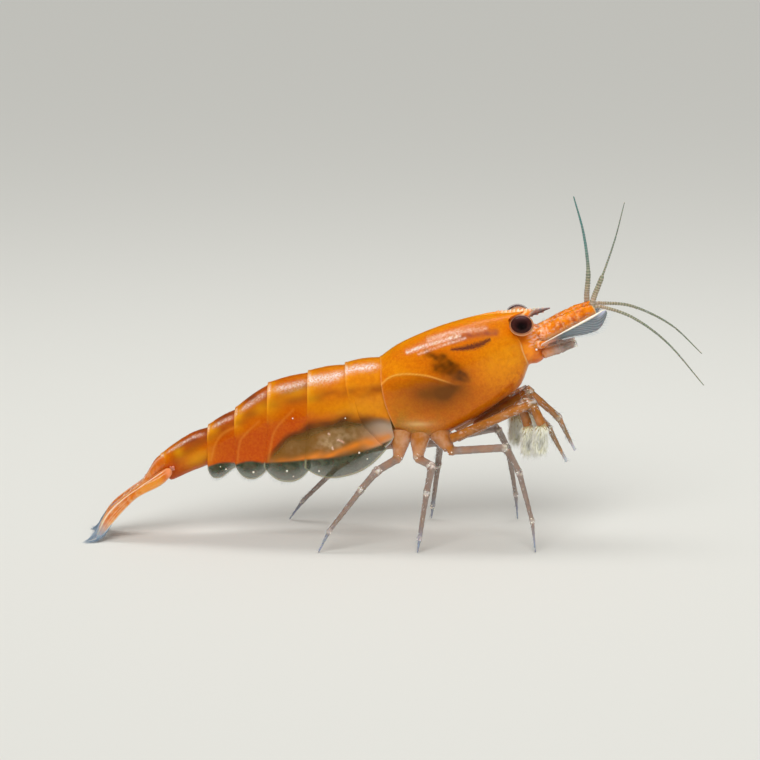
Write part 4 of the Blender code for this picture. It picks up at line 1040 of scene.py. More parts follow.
def tail_strands():
    """Strands of the telson and of the four uropods, by the name of the CAD node."""
    strands = {"telson": Strand(course([(x, 0.0, z) for x, z in TELSON_LINE]), rounded(TELSON_WIDTH, 0.03),
                                rounded(TELSON_HEIGHT, 0.03), steps=140)}
    for side_name, side in SIDES:
        line = course([(x, side * 0.42, z) for x, z in INNER_UROPOD_LINE])
        strands["uropod_inner_" + side_name] = Strand(
            line, rounded((0.15, 0.24, 0.32, 0.36, 0.34, 0.22), 0.05),
            rounded((0.2, 0.14, 0.09, 0.07, 0.05, 0.03), 0.05), steps=140)
        place = uropod_matrix(side)
        knots = [tuple(place @ Vector((x, y, 0))) for x, y in OUTER_UROPOD_LINE]
        flat = (place.to_3x3() @ Vector((0, 1, 0)))
        strands["uropod_outer_" + side_name] = Strand(
            course(knots), rounded(OUTER_UROPOD_WIDTH, 0.05),
            rounded((0.16, 0.15, 0.1, 0.07, 0.05, 0.025), 0.05), flat=tuple(flat), steps=160)
    return strands


def build_tail(sizes, colours):
    """Telson and the two pairs of uropods, with their ridges and clear tips."""
    # Glossy chitin: orange at the root with pale ridges, clearing to blue-grey at the tips
    fan = living("orange_to_clear_chitin_of_the_tail_fan", "#d87418",
                 washes=(("pale_patch_and_painted_highlight", "#dca06c", 0.25), ("golden", "#e4a040", 0), ("tip", colours.tail_tip, 0.0),
                         ("ridge", "#f6dcc0", 0.0), ("knob", "#e48f5c", 0.0)),
                 mottles=(("#b04e10", 0.3, 0.5),), coat=0.5, roughness=0.24, alpha=0.97, clear_alpha=0.62)
    for name, strand in tail_strands().items():
        data = strand.skin(name + "_blade", 48)
        u, v = numbers(data, "u"), numbers(data, "v")
        across, rise = np.cos(2 * np.pi * u), np.sin(2 * np.pi * u)
        if name == "telson":
            spines = sum(hump(v - at, 0.012) for at in (0.45, 0.6, 0.74, 0.86))
            ridge = hump(np.abs(across) - 0.55, 0.1)
            emboss(data, 0.02 * ridge + 0.06 * spines * hump(np.abs(across) - 0.6, 0.08)
                   * (rise < 0))
            mark(data, "ridge", 0.35 * ridge + spines * hump(np.abs(across) - 0.6, 0.08))
        else:
            ridge = hump(across - (0.5 if "outer" in name else 0.1), 0.09)
            edge = fade(across, 0.86, 1.0) + fade(-across, 0.9, 1.0)
            emboss(data, 0.045 * ridge * fade(v, 0.98, 0.8) + 0.012 * edge)
            aslant = across - 0.5 + 0.6 * fade(v, 0.45, 0.0)
            second = 0.6 * hump(aslant, 0.06) * fade(v, 0.5, 0.35)
            streaks = 0.4 * hump(np.mod(across * 3 + 0.3, 1.0) - 0.5, 0.12) * fade(v, 0.45, 0.7)
            frost = 0.55 * hump(np.mod(across * 4 + 0.2, 1.0) - 0.5, 0.16) * fade(v, 0.72, 0.86)
            mark(data, "ridge", (np.maximum(ridge, second) + 0.35 * edge + streaks) * fade(v, 1.0, 0.85)
                 + frost * fade(v, 1.0, 0.96))
            mark(data, "golden", 0.6 * ("outer" in name) * fade(v, 0.06, 0.16) * fade(v, 0.5, 0.3)
                 * fade(across, 0.42, 0.1))
        mark(data, "tip", fade(v, 0.78, 0.99) * (0.15 if name == "telson" else 1.0))
        mark(data, "clear", fade(v, 0.76, 0.99) * (0.3 if name == "telson" else 1.0))
        mark(data, "pale_patch_and_painted_highlight", 0.8 * fade(v, 0.1, 0.5))
        mark(data, "knob", fade(v, 0.09, 0.03) * (name != "telson"))
        piece(data, (name,), fan)


def limb_strand(joints, radii, side, bend=0.12, steps=260, squash=0.86, pinch=1.0):
    """Strand through the joints of a limb, pinched at each joint and swollen between."""
    shares_ = joint_shares(joints)
    points = mirrored(joints, side)
    full = np.linalg.norm(np.diff(np.array(joints), axis=0), axis=1).sum()

    def widths(share):
        radius = np.interp(share, shares_, radii)
        near = from_joints(share, shares_, 0.07, full)
        beside = from_joints(share, shares_, 0.2, full)
        ends = np.clip(share * full / 0.15, 0, 1) * np.clip((1 - share) * full / 0.06, 0, 1)
        swell = 1 - pinch * (0.08 + 0.2 * near - 0.22 * beside)
        return radius * swell * np.sqrt(1 - (1 - ends) ** 2)
    strand = Strand(jointed(points, bend), widths, lambda share: widths(share) * squash, steps=steps)
    return strand, shares_, full


def walking_leg_strand(name):
    """Strand of a walking leg, which starts under the shell."""
    joints = WALKING_LEGS[name]
    return limb_strand(((joints[0][0], 0.85, 5.7), *joints[1:]), LEG_RADII, side_of(name))


def front_limb_strand(name):
    """Strand of a third maxilliped or of a clawed leg."""
    radii = MAXILLIPED_RADII if name.startswith("maxilliped") else CHELIPED_RADII
    return limb_strand(FRONT_LIMBS[name], radii, side_of(name))


def antennule_stem_strand(side):
    """Strand of the three-jointed stem of an antennule."""
    return limb_strand(ANTENNULE_STEM, ANTENNULE_RADII, side, 0.2, squash=1.0, pinch=0.3)


def antenna_stem_strand(side):
    """Strand of the short stem of an antenna."""
    return limb_strand(ANTENNA_STEM, ANTENNA_RADII, side, bend=0.2)


def build_walking_legs(sizes, colours):
    """Six walking legs: glassy tubes with glints painted at the joints, spined below, ending in hooked claws.
    """
    # Thin clear chitin over pinkish-brown flesh: pale glassy edges, a darker thread inside, painted glints
    # and sheen
    glass = living("glassy_chitin_of_the_legs", colours.leg,
                   washes=(("core", "#8c6c5a", 0.3), ("base", "#c2782a", 0), ("pale_patch_and_painted_highlight", "#dca87c", 0.4),
                           ("low", colours.leg_low, 0.0),
                           ("joint", "#fbeee0", 0.0)),
                   mottles=(("#75645a", 0.25, 0.45),), alpha=0.72, coat=0.8, roughness=0.16, flesh=0.3,
                   depth=0.2, sheen=0.12)
    for name in WALKING_LEGS:
        strand, shares_, full = walking_leg_strand(name)
        data = strand.skin(name + "_skin", 20)
        v = numbers(data, "v")
        near = from_joints(v, shares_, 0.12, full)
        x, y, z = spots(data).T
        emboss(data, 0.035 * near * fade(ripple(x, y, z, 0.09, 1.0), 0.0, 0.5)
               + 0.008 * ripple(x, y, z, 0.1, 2.0))
        # Painted glints: white grains of light at the joints
        mark(data, "joint", near * fade(ripple(x, y, z, 0.08, 2.0), -0.6, 0.2) * fade(v, 0.12, 0.3))
        mark(data, "base", fade(v, shares_[1] + 0.07, shares_[1] - 0.02)
             + 0.3 * fade(v, shares_[2], shares_[2] - 0.1) * fade(ripple(x, y, z, 0.25, 3.0), -0.4, 0.4))
        # Painted sheen: pale peach streaks near the base of the leg
        mark(data, "pale_patch_and_painted_highlight", 0.6 * fade(v, shares_[1] + 0.05, shares_[1] - 0.1))
        mark(data, "low", fade(z, 1.6, 0.3))
        mark(data, "core", 0.5 * fade(v, 0.9, 0.4))
        piece(data, (name,), glass)


def build_front_limbs(sizes, colours):
    """Third maxillipeds and the two pairs of clawed legs with their hands."""
    # Amber chitin that turns to smoky glass past the knee, with granular white glints painted at the joints
    skin = living("amber_chitin_of_the_front_limbs", "#b47024",
                  washes=(("outer", "#8c7c60", 0), ("pale_patch_and_painted_highlight", "#d09058", 0.25), ("fleck", "#d8b8a4", 0.12),
                          ("tip", "#c2c8d0", 0),
                          ("joint", "#f8e6d4", 0)),
                  mottles=(("#7f4815", 0.25, 0.5),), alpha=0.86, coat=0.6, roughness=0.22, depth=0.25,
                  sheen=0.1)
    # Pale clear chitin of the small hands, almost hidden by their brushes
    hand = living("pale_chitin_of_the_hands", "#d9c294",
                  washes=(("joint", "#f0d8b4", 0), ("tip", "#eeecd6", 0)),
                  mottles=(("#bfa070", 0.2, 0.5),), alpha=0.85, coat=0.5, depth=0.25)
    for name, joints in FRONT_LIMBS.items():
        limb, side = name.rsplit("_", 1)[0], side_of(name)
        strand, shares_, full = front_limb_strand(name)
        data = strand.skin(name + "_skin", 24)
        v = numbers(data, "v")
        x, y, z = spots(data).T
        near = from_joints(v, shares_, 0.12, full)
        emboss(data, 0.03 * near * fade(ripple(x, y, z, 0.09, 1.0), 0.0, 0.5)
               + 0.01 * ripple(x, y, z, 0.12, 2.0))
        flecks = (0.7 * fade(ripple(0.5 * x, y, 1.6 * z, 0.1, 7.0), 0.25, 0.8)
                  * fade(v, shares_[1], shares_[1] - 0.12))
        # Painted glints: granular white specks at the joints
        mark(data, "joint", 0.85 * near * fade(ripple(x, y, z, 0.08, 2.0), -0.3, 0.3))
        mark(data, "fleck", flecks * (limb == "cheliped_2"))
        glassy = 0.75 if limb == "maxilliped" else 0.2
        mark(data, "outer", glassy * fade(v, shares_[1] + 0.05, shares_[1] + 0.4))
        mark(data, "tip", fade(v, 0.9, 0.98) * (limb == "maxilliped"))
        mark(data, "pale_patch_and_painted_highlight", 0.6 * fade(ripple(x, y, z, 0.3, 4.0), -0.1, 0.5))
        piece(data, (name,), skin)
        if limb in CLAW_AIM:
            build_hand(name, np.array(mirrored(joints, side)[-1]), claw_aim(limb, side), hand)


def claw_aim(limb, side):
    """Direction in which a hand points."""
    x, y, z = CLAW_AIM[limb]
    aim = np.array((x, side * y, z))
    return aim / np.linalg.norm(aim)


def finger_lines(wrist, aim):
    """Middle lines of the fixed finger and of the moving finger, slightly apart."""
    fore = np.array((1.0, 0.0, 0.0)) - aim * aim[0]
    knuckle = wrist + aim * PALM_LENGTH
    lines = []
    for way in (-1.0, 1.0):
        lines.append(course([knuckle - aim * 0.1 + fore * 0.12 * way, knuckle + aim * 0.3 + fore * 0.2 * way,
                             knuckle + aim * 0.7 + fore * 0.17 * way,
                             knuckle + aim * FINGER_LENGTH + fore * 0.08 * way]))
    return lines


def build_hand(name, wrist, aim, material):
    """Palm and two fingers of one clawed leg, joined into one mesh."""
    wrist = wrist + aim * HAND_SET
    palm = Strand(course([wrist, wrist + aim * PALM_LENGTH * 0.5, wrist + aim * PALM_LENGTH * 1.08]),
                  rounded((0.19, 0.25, 0.3, 0.28, 0.2), 0.08), rounded((0.17, 0.21, 0.24, 0.22, 0.16), 0.08),
                  flat=(1.0, 0.0, 0.0), steps=60)
    parts = [palm.skin(name + "_palm", 28)]
    for index, line in enumerate(finger_lines(wrist, aim)):
        finger = Strand(line, rounded((0.12, 0.12, 0.1, 0.07, 0.04), 0.06),
                        rounded((0.13, 0.12, 0.09, 0.07, 0.04), 0.06), flat=(1.0, 0.0, 0.0), steps=50)
        parts.append(finger.skin(f"{name}_finger_{index}", 20))
    mark(parts[0], "tip", 0 * numbers(parts[0], "v"))
    mark(parts[0], "joint", fade(numbers(parts[0], "v"), 0.12, 0.0) + fade(numbers(parts[0], "v"), 0.88, 1.0))
    for part in parts[1:]:
        mark(part, "tip", fade(numbers(part, "v"), 0.2, 0.8))
        mark(part, "joint", 0 * numbers(part, "v"))
    mesh = bmesh.new()
    for part in parts:
        mesh.from_mesh(part)
        bpy.data.meshes.remove(part)
    data = bpy.data.meshes.new(name.replace("cheliped", "hand"))
    mesh.to_mesh(data)
    mesh.free()
    data.shade_smooth()
    piece(data, (name.replace("cheliped", "claw"),), material)


def scale_axes(side):
    """Rim direction, drop direction and start of an antennal scale."""
    start, end = (np.array((x, side * y, z)) for x, y, z in SCALE_RIM)
    rim = Vector(end - start)
    full = rim.length
    rim.normalize()
    flat = rim.cross(Vector((0, -side, 0))).normalized() * -side
    rise = (Matrix.Rotation(side * SCALE_LEAN, 3, rim) @ flat).normalized()
    return start, np.array(rim), -np.array(rise), full


def scale_strand(side):
    """Blade of an antennal scale: its middle line lies half its depth under the rim."""
    start, rim, drop, full = scale_axes(side)
    depth = profile(SCALE_DEPTH)

    def middle(share):
        run = share * full * (1 + 0.05 * fade(share, 0.8, 1.0))
        return start + rim * run[:, None] + drop * (depth(share) / 2)[:, None]

    def widths(share):
        ends = np.clip(share / 0.03, 0, 1) * np.clip((1 - share) / 0.03, 0, 1)
        return depth(share) / 2 * np.sqrt(1 - (1 - ends) ** 2)
    return Strand(middle, widths, lambda share: 0.045 + 0 * share, flat=tuple(-drop), steps=170)


def build_feelers(sizes, colours):
    """Stems, flagella and scales of the two pairs of feelers."""
    # Glossy chitin, almost opaque: orange with deeper flecks and pale specks, lighter below
    stem_skin = living("orange_chitin_of_the_feeler_stems", "#e07a0c",
                       washes=(("hot", "#b04c10", 0.22), ("pale_patch_and_painted_highlight", "#f6ccae", 0.14), ("low", "#cf9a68", 0),
                               ("joint", "#f4cf9c", 0)),
                       mottles=(("#f0960e", 0.2, 0.6),), alpha=0.98, coat=0.2, gloss=0.35, roughness=0.28)
    # Glassy chitin of a short tube, partly clear: orange at its root, then brownish, a painted white glint at
    # its end
    tube_skin = living("glassy_chitin_of_the_antenna_stems", "#927262",
                       washes=(("base", "#d98a44", 0), ("pale_patch_and_painted_highlight", "#d8b4a4", 0.35), ("joint", "#f6f0ea", 0)),
                       mottles=(("#6c6a58", 0.3, 0.5),), alpha=0.72, coat=0.8, roughness=0.16, flesh=0.3)
    # Smoky clear blade with fine bluish ribs under a stout cream rim
    blade_skin = living("smoky_chitin_of_the_antennal_scales", "#4c5a5e",
                        washes=(("streak", "#aebac4", 0.0), ("base", "#c48a6c", 0.0),
                                ("tip", "#c9cbe0", 0), ("rim", "#fff4e2", 0)),
                        mottles=(("#46524e", 0.3, 0.4),), alpha=0.9, clear_alpha=0.72, coat=0.8,
                        roughness=0.18, flesh=0.2)
    # Thin ringed whip: brownish with pale rings at its root, then olive, blue-green far out
    whip_skin = living("ringed_chitin_of_the_flagella", "#8a8a70",
                       washes=(("base", "#a8937a", 0.0), ("far", "#557f7c", 0.0), ("band", "#ddd0bc", 0.0)),
                       mottles=(("#565c44", 0.2, 0.4),), alpha=0.95, coat=0.4, flesh=0.2)
    for side_name, side in SIDES:
        build_stems(side_name, side, stem_skin, tube_skin)
        build_scale(side_name, side, blade_skin)
    for name in FLAGELLA:
        build_flagellum(name, whip_skin)


def build_stems(side_name, side, stem_skin, tube_skin):
    """Three-jointed stem of an antennule and the stem of an antenna on one side."""
    strand, shares_, full = antennule_stem_strand(side)
    data = strand.skin("antennule_stem_skin_" + side_name, 32)
    v = numbers(data, "v")
    x, y, z = spots(data).T
    emboss(data, 0.02 * ripple(x, y, z, 0.14, 1.0) + 0.01 * ripple(x, y, z, 0.06, 2.0))
    mark(data, "hot", 0.9 * fade(ripple(x, y, z, 0.3, 5.0), -0.3, 0.4))
    mark(data, "pale_patch_and_painted_highlight", 0.9 * fade(ripple(x, y, z, 0.1, 3.0), 0.0, 0.5) * fade(v, 1.0, 0.2)
         + 0.7 * fade(v, 0.34, 0.1) * fade(ripple(x, 2 * y, 2 * z, 0.2, 1.0), -0.6, 0.3))
    mark(data, "low", 0.7 * fade(z - np.interp(x, (8.0, 10.5), (10.5, 11.8)), -0.05, -0.3))
    mark(data, "joint", from_joints(v, shares_, 0.05, full) * 0.2 + fade(v, 0.97, 1.0))
    piece(data, ("antennule_stem_" + side_name,), stem_skin)
    root = Strand(course(mirrored(SCALE_ROOT, side)), rounded((0.2, 0.22, 0.17, 0.07), 0.05), steps=80)
    data = root.skin("scale_root_" + side_name, 28)
    x, y, z = spots(data).T
    emboss(data, 0.02 * ripple(x, y, z, 0.12, 4.0))
    mark(data, "pale_patch_and_painted_highlight", 0.9 * fade(ripple(x, 2 * y, 2 * z, 0.2, 3.0), -0.6, 0.3))
    mark(data, "hot", 0.6 * fade(ripple(x, y, z, 0.2, 2.0), -0.2, 0.4))
    piece(data, (), stem_skin)
    strand, shares_, full = antenna_stem_strand(side)
    data = strand.skin("antenna_stem_skin_" + side_name, 28)
    v = numbers(data, "v")
    x, y, z = spots(data).T
    mark(data, "base", fade(v, 0.55, 0.1))
    mark(data, "pale_patch_and_painted_highlight", 0.35 + 0 * v)
    # Painted glint: white specks round the end of the tube
    mark(data, "joint", fade(v, 0.86, 0.95) * fade(ripple(x, y, z, 0.12, 1.0), -0.5, 0.2)
         + 0.12 * from_joints(v, shares_, 0.06, full))
    piece(data, ("antenna_stem_" + side_name,), tube_skin)


def build_scale(side_name, side, blade_skin):
    """Antennal scale with a stout pale rim and slanting ribs."""
    data = scale_strand(side).skin("antennal_scale_blade_" + side_name, 60)
    u, v = numbers(data, "u"), numbers(data, "v")
    across = np.cos(2 * np.pi * u)
    rim = fade(across, 0.66, 0.86)
    ribs = 0.5 + 0.5 * np.sin(2 * np.pi * (15 * v + 2.6 * across))
    emboss(data, 0.05 * rim + 0.007 * ribs * fade(across, 0.8, 0.6) * fade(v, 0.05, 0.3))
    mark(data, "rim", rim)
    mark(data, "streak", (0.1 + 0.34 * ribs ** 2) * fade(v, 0.2, 0.6) * fade(across, 0.85, 0.5))
    mark(data, "base", fade(v, 0.35, 0.05))
    mark(data, "tip", fade(v, 0.85, 1.0) * fade(across, -0.4, 0.4) * 0.9)
    mark(data, "clear", fade(v, 0.1, 0.4) * fade(across, 0.8, 0.5))
    piece(data, ("antennal_scale_" + side_name,), blade_skin)


def whip_strand(name):
    """Strand of one flagellum: the upper ones are stout for their first 1.6 mm."""
    line = course(mirrored(FLAGELLA[name], side_of(name)))
    full = np.linalg.norm(np.diff(line(np.linspace(0, 1, 200)), axis=0), axis=1).sum()

    def widths(share):
        run = share * full
        if "upper" in name:
            thin = 0.085 if name.endswith("left") else 0.05
            radius = np.interp(run, (0, 0.4, 1.7, 1.85, full), (0.13, 0.13, 0.11, thin, 0.35 * thin))
        else:
            radius = np.interp(run, (0, 0.6, 3.0, full), (0.085, 0.08, 0.055, 0.02))
        beads_ = 1 + 0.14 * np.abs(np.sin(np.pi * run / WHIP_RING))
        return radius * beads_ * np.clip(share / 0.01, 0, 1) * np.clip((1 - share) / 0.01, 0, 1)
    return Strand(line, widths, steps=520), full


def build_flagellum(name, skin):
    """One ringed flagellum."""
    strand, full = whip_strand(name)
    data = strand.skin(name + "_whip", 10)
    v = numbers(data, "v")
    run = v * full
    mark(data, "band", 0.45 * (np.sin(np.pi * run / WHIP_RING) ** 2 < 0.3) * fade(run, 5.0, 0.5))
    mark(data, "base", fade(run, 1.6, 0.2))
    mark(data, "far", fade(run, 1.0, 3.2) * (0.35 if "lower" in name else 1.0 if "left" in name else 0.5))
    piece(data, (name,), skin)


def strand_edge(strand, shares_, way):
    """Points and directions at one edge of a blade: way is +1 or -1 across."""
    index = np.rint(shares_ * strand.steps).astype(int)
    roots = strand.line[index] + strand.side[index] * (way * strand.widths[index] * 0.97)[:, None]
    return roots, strand.side[index] * way, strand.ahead[index]


def build_setae(sizes, colours):
    """Bristles: fringes of the tail fan, scales and swimmerets, brushes, and spines of the limbs."""
    rng = np.random.default_rng(BRISTLE_SEED)
    # Glassy bristle: white, a little clear, and bluer towards its tip
    white = living("glassy_white_bristles", colours.seta, relief=0.0, alpha=0.75, coat=0.3, flesh=0.0,
                   washes=(("v", "#c8d2dc", 0),))
    # Glassy bristle of the fan: blue-white, a little clear, and a deeper blue at its tip
    blue = living("blue_white_bristles_of_the_tail", "#b7c4d0", relief=0.0, alpha=0.7, coat=0.3, flesh=0.0,
                  washes=(("v", "#7f9ab4", 0),))
    # Dense soft bristle of the brushes: opaque cream that whitens towards its tip
    cream = living("cream_bristles_of_the_claws", colours.brush, washes=(("v", "#ffffff", 0),),
                   mottles=(("#e6e2b4", 0.3, 0.5),), relief=0.0, coat=0.1, flesh=0.0)
    width = sizes.seta_width / MM
    fringe_tail(rng, width, blue)
    fringe_scales(rng, width, white)
    fringe_swimmerets(rng, width, white)
    fringe_flaps(rng, width, white)
    brush_claws(rng, width, cream)
    spine_limbs(rng, width, white)
    bristle_feelers(rng, width, white)


def gather(groups):
    """Join lists of roots, ways, curls, lengths and homes."""
    return [np.concatenate(column) for column in zip(*groups)]


def plant(name, groups, width, material, standing=False):
    """Make one piece of the bristles in the groups; standing ones are kept off the floor."""
    roots, ways, curls, lengths, homes = gather(groups)
    data = hairs(name, roots, ways, curls, lengths, width, homes)
    if standing:
        keep_above_floor(data)
    piece(data, (), material)


def around(strand, turn, at, reach, ahead, outward):
    """Roots just under the surface of a strand and the ways in which bristles stand there."""
    roots, middle = strand.place(turn, at, reach), strand.place(turn, at, 0.0)
    out = (roots - middle) / np.maximum(np.linalg.norm(roots - middle, axis=1), 1e-6)[:, None]
    index = np.rint(at * strand.steps).astype(int)
    return roots, strand.ahead[index] * ahead + out * outward


def fringe_tail(rng, width, material):
    """Fringe of the tail fan."""
    groups = []
    for name, strand in tail_strands().items():
        count = 26 if name == "telson" else 110
        for way in (-1, 1):
            shares_ = np.linspace(0.9 if name == "telson" else 0.8, 0.995, count)
            roots, out, ahead = strand_edge(strand, shares_, way)
            tipward = fade(shares_, 0.5, 1.0)[:, None]
            ways = (ahead * (0.75 + 0.5 * tipward) + out * (0.55 - 0.35 * tipward)
                    + rng.normal(0, 0.05, roots.shape))
            lengths = 0.12 + 0.66 * fade(shares_, 0.78, 0.93) + rng.normal(0, 0.04, count)
            if name == "telson":
                lengths = lengths * 0.7
            homes = np.stack((shares_, 0.5 + 0.4 * way + 0 * shares_), axis=-1)
            curls = -out * 0.2 + rng.normal(0, 0.06, roots.shape)
            groups.append((roots, ways, curls, lengths, homes))
    roots, ways, curls, lengths, homes = gather(groups)
    ends = roots[:, 2] + ways[:, 2] * lengths
    ways[:, 2] += np.clip(0.04 - ends, 0, None) / np.clip(lengths, 0.1, None)
    data = hairs("tail_fringe", roots, ways, curls, lengths, width, homes)
    keep_above_floor(data)
    piece(data, (), material)


def keep_above_floor(data):
    """Lift what would reach below the floor."""
    places = spots(data)
    places[:, 2] = np.maximum(places[:, 2], 0.01)
    move(data, places)


def fringe_scales(rng, width, material):
    """Fringe of the inner edge and tip of the antennal scales."""
    groups = []
    for _, side in SIDES:
        strand = scale_strand(side)
        shares_ = np.linspace(0.3, 0.99, 90)
        roots, out, ahead = strand_edge(strand, shares_, -1)
        ways = ahead * 0.8 + out * 0.7 + rng.normal(0, 0.05, roots.shape)
        lengths = 0.16 + 0.2 * fade(shares_, 0.3, 0.8) + rng.normal(0, 0.02, len(shares_))
        homes = np.stack((shares_, 0.1 + 0 * shares_), axis=-1)
        groups.append((roots, ways, out * 0.1, lengths, homes))
    plant("scale_fringe", groups, width * 0.8, material)


def fringe_swimmerets(rng, width, material):
    """Fringe round the paddles of the swimmerets."""
    groups = []
    for number, (root, tip, half) in enumerate(SWIMMERETS, start=1):
        for _, side in SIDES:
            shares_ = np.linspace(0.5, 1.0, 22)
            line = np.array(root)[None] + (np.array(tip) - np.array(root))[None] * shares_[:, None]
            across = np.array((tip[1] - root[1], root[0] - tip[0]))
            across /= np.linalg.norm(across)
            along = (np.array(tip) - np.array(root)) / np.linalg.norm(np.array(tip) - np.array(root))
            for way in (-1, 1):
                reach = half * (0.9 - 0.75 * fade(shares_, 0.75, 1.0)) * way
                spot_ = line + across * reach[:, None]
                roots = np.stack((spot_[:, 0], side * SWIMMERET_Y + 0 * shares_, spot_[:, 1]), axis=-1)
                flat_way = along[None] * 0.8 + across[None] * way * 0.45
                ways = np.stack((flat_way[:, 0] + 0 * shares_, 0 * shares_, flat_way[:, 1] + 0 * shares_),
                                axis=-1)
                ways = ways + rng.normal(0, 0.06, ways.shape)
                lengths = 0.25 + rng.normal(0, 0.03, len(shares_))
                homes = np.stack((shares_, 0.5 + 0.09 * number * way + 0 * shares_), axis=-1)
                groups.append((roots, ways, 0 * ways, lengths, homes))
    plant("swimmeret_fringe", groups, width * 0.7, material)


def fringe_flaps(rng, width, material):
    """Fine bristles along the free edge of the side flaps."""
    groups = []
    for number in range(1, 6):
        place = ring_place(number, 0.0)
        v = np.linspace(0.08, 0.95, 34)
        for end, side in ((0.0, 1.0), (1.0, -1.0)):
            roots = place(0 * v + end, v)
            ways = np.stack((-0.45 + 0.2 * rng.normal(size=len(v)), 0.1 * side + 0 * v, -1.0 + 0 * v),
                            axis=-1)
            lengths = 0.18 + 0.03 * rng.normal(size=len(v))
            homes = np.stack((v, 0.1 * number + 0 * v), axis=-1)
            groups.append((roots, ways, 0 * ways, lengths, homes))
    plant("flap_fringe", groups, width * 0.8, material)


def brush_claws(rng, width, material):
    """Brushes that spread from the palms and fingers of the four hands."""
    groups = []
    for name, joints in FRONT_LIMBS.items():
        limb, side = name.rsplit("_", 1)[0], side_of(name)
        if limb not in CLAW_AIM:
            continue
        aim = claw_aim(limb, side)
        wrist = np.array(mirrored(joints, side)[-1]) + aim * HAND_SET
        palm = course([wrist + aim * 0.15, wrist + aim * 0.45, wrist + aim * PALM_LENGTH * 1.1])
        fingers = [(line, 210, 0.07, 0.62) for line in finger_lines(wrist, aim)]
        for line, count, start, reach in (*fingers, (palm, 230, 0.22, 0.52)):
            shares_ = rng.uniform(0.0, 1.0, count)
            turn = rng.uniform(0, 2 * np.pi, count)
            lean = rng.uniform(0.0, 1.0, count) ** 0.7 * (1.7 - 0.8 * shares_)
            out = (np.array((1.0, 0.0, 0.0)) * np.cos(turn)[:, None]
                   + np.array((0.0, 1.0, 0.0)) * np.sin(turn)[:, None])
            roots = line(shares_) + out * start
            ways = aim + out * lean[:, None]
            lengths = reach * (1.18 - 0.42 * lean - 0.35 * shares_) + 0.14 * rng.random(count)
            homes = np.stack((shares_, turn / 7), axis=-1)
            groups.append((roots, ways, -out * 0.12 * lean[:, None], lengths, homes))
    plant("claw_brushes", groups, width * 1.7, material)


def spine_limbs(rng, width, material):
    """Spines and bristles of the walking legs and the maxillipeds."""
    groups = []
    for name in (*WALKING_LEGS, *FRONT_LIMBS):
        walking, maxilliped = name in WALKING_LEGS, name.startswith("maxilliped")
        strand, shares_, _ = walking_leg_strand(name) if walking else front_limb_strand(name)
        count = 60 if walking else 90 if maxilliped else 24
        at = rng.uniform(shares_[2] if walking else 0.3, 0.985, count)
        turn = rng.uniform(0.5, 1.0, count) if walking else rng.uniform(0.0, 1.0, count)
        roots, ways = around(strand, turn, at, 0.9, 0.9, 0.75)
        lengths = 0.16 + 0.06 * rng.random(count) + (0.12 if maxilliped else 0.0)
        groups.append((roots, ways, 0 * ways, lengths, np.stack((at, turn), axis=-1)))
    plant("limb_bristles", groups, width * 0.8, material, standing=True)


def bristle_feelers(rng, width, material):
    """Bristles of the feeler stems, the stout flagella and the rostrum."""
    groups = []
    for side_name, side in SIDES:
        strand, _, _ = antennule_stem_strand(side)
        at = rng.uniform(0.1, 0.98, 46)
        turn = rng.uniform(0.0, 1.0, 46)
        roots, ways = around(strand, turn, at, 0.97, 0.8, 0.8)
        groups.append((roots, ways, 0 * ways, 0.16 + 0.16 * rng.random(46), np.stack((at, turn), axis=-1)))
        for name in ("antennule_upper_", "antennule_lower_"):
            strand, _ = whip_strand(name + side_name)
            at = rng.uniform(0.02, 0.8, 90)
            turn = rng.uniform(0.0, 1.0, 90)
            roots, ways = around(strand, turn, at, 0.95, 0.9, 0.7)
            lengths = 0.07 + 0.05 * rng.random(90)
            groups.append((roots, ways, 0 * ways, lengths, np.stack((at, turn), axis=-1)))
    plant("feeler_bristles", groups, width * 0.55, material)


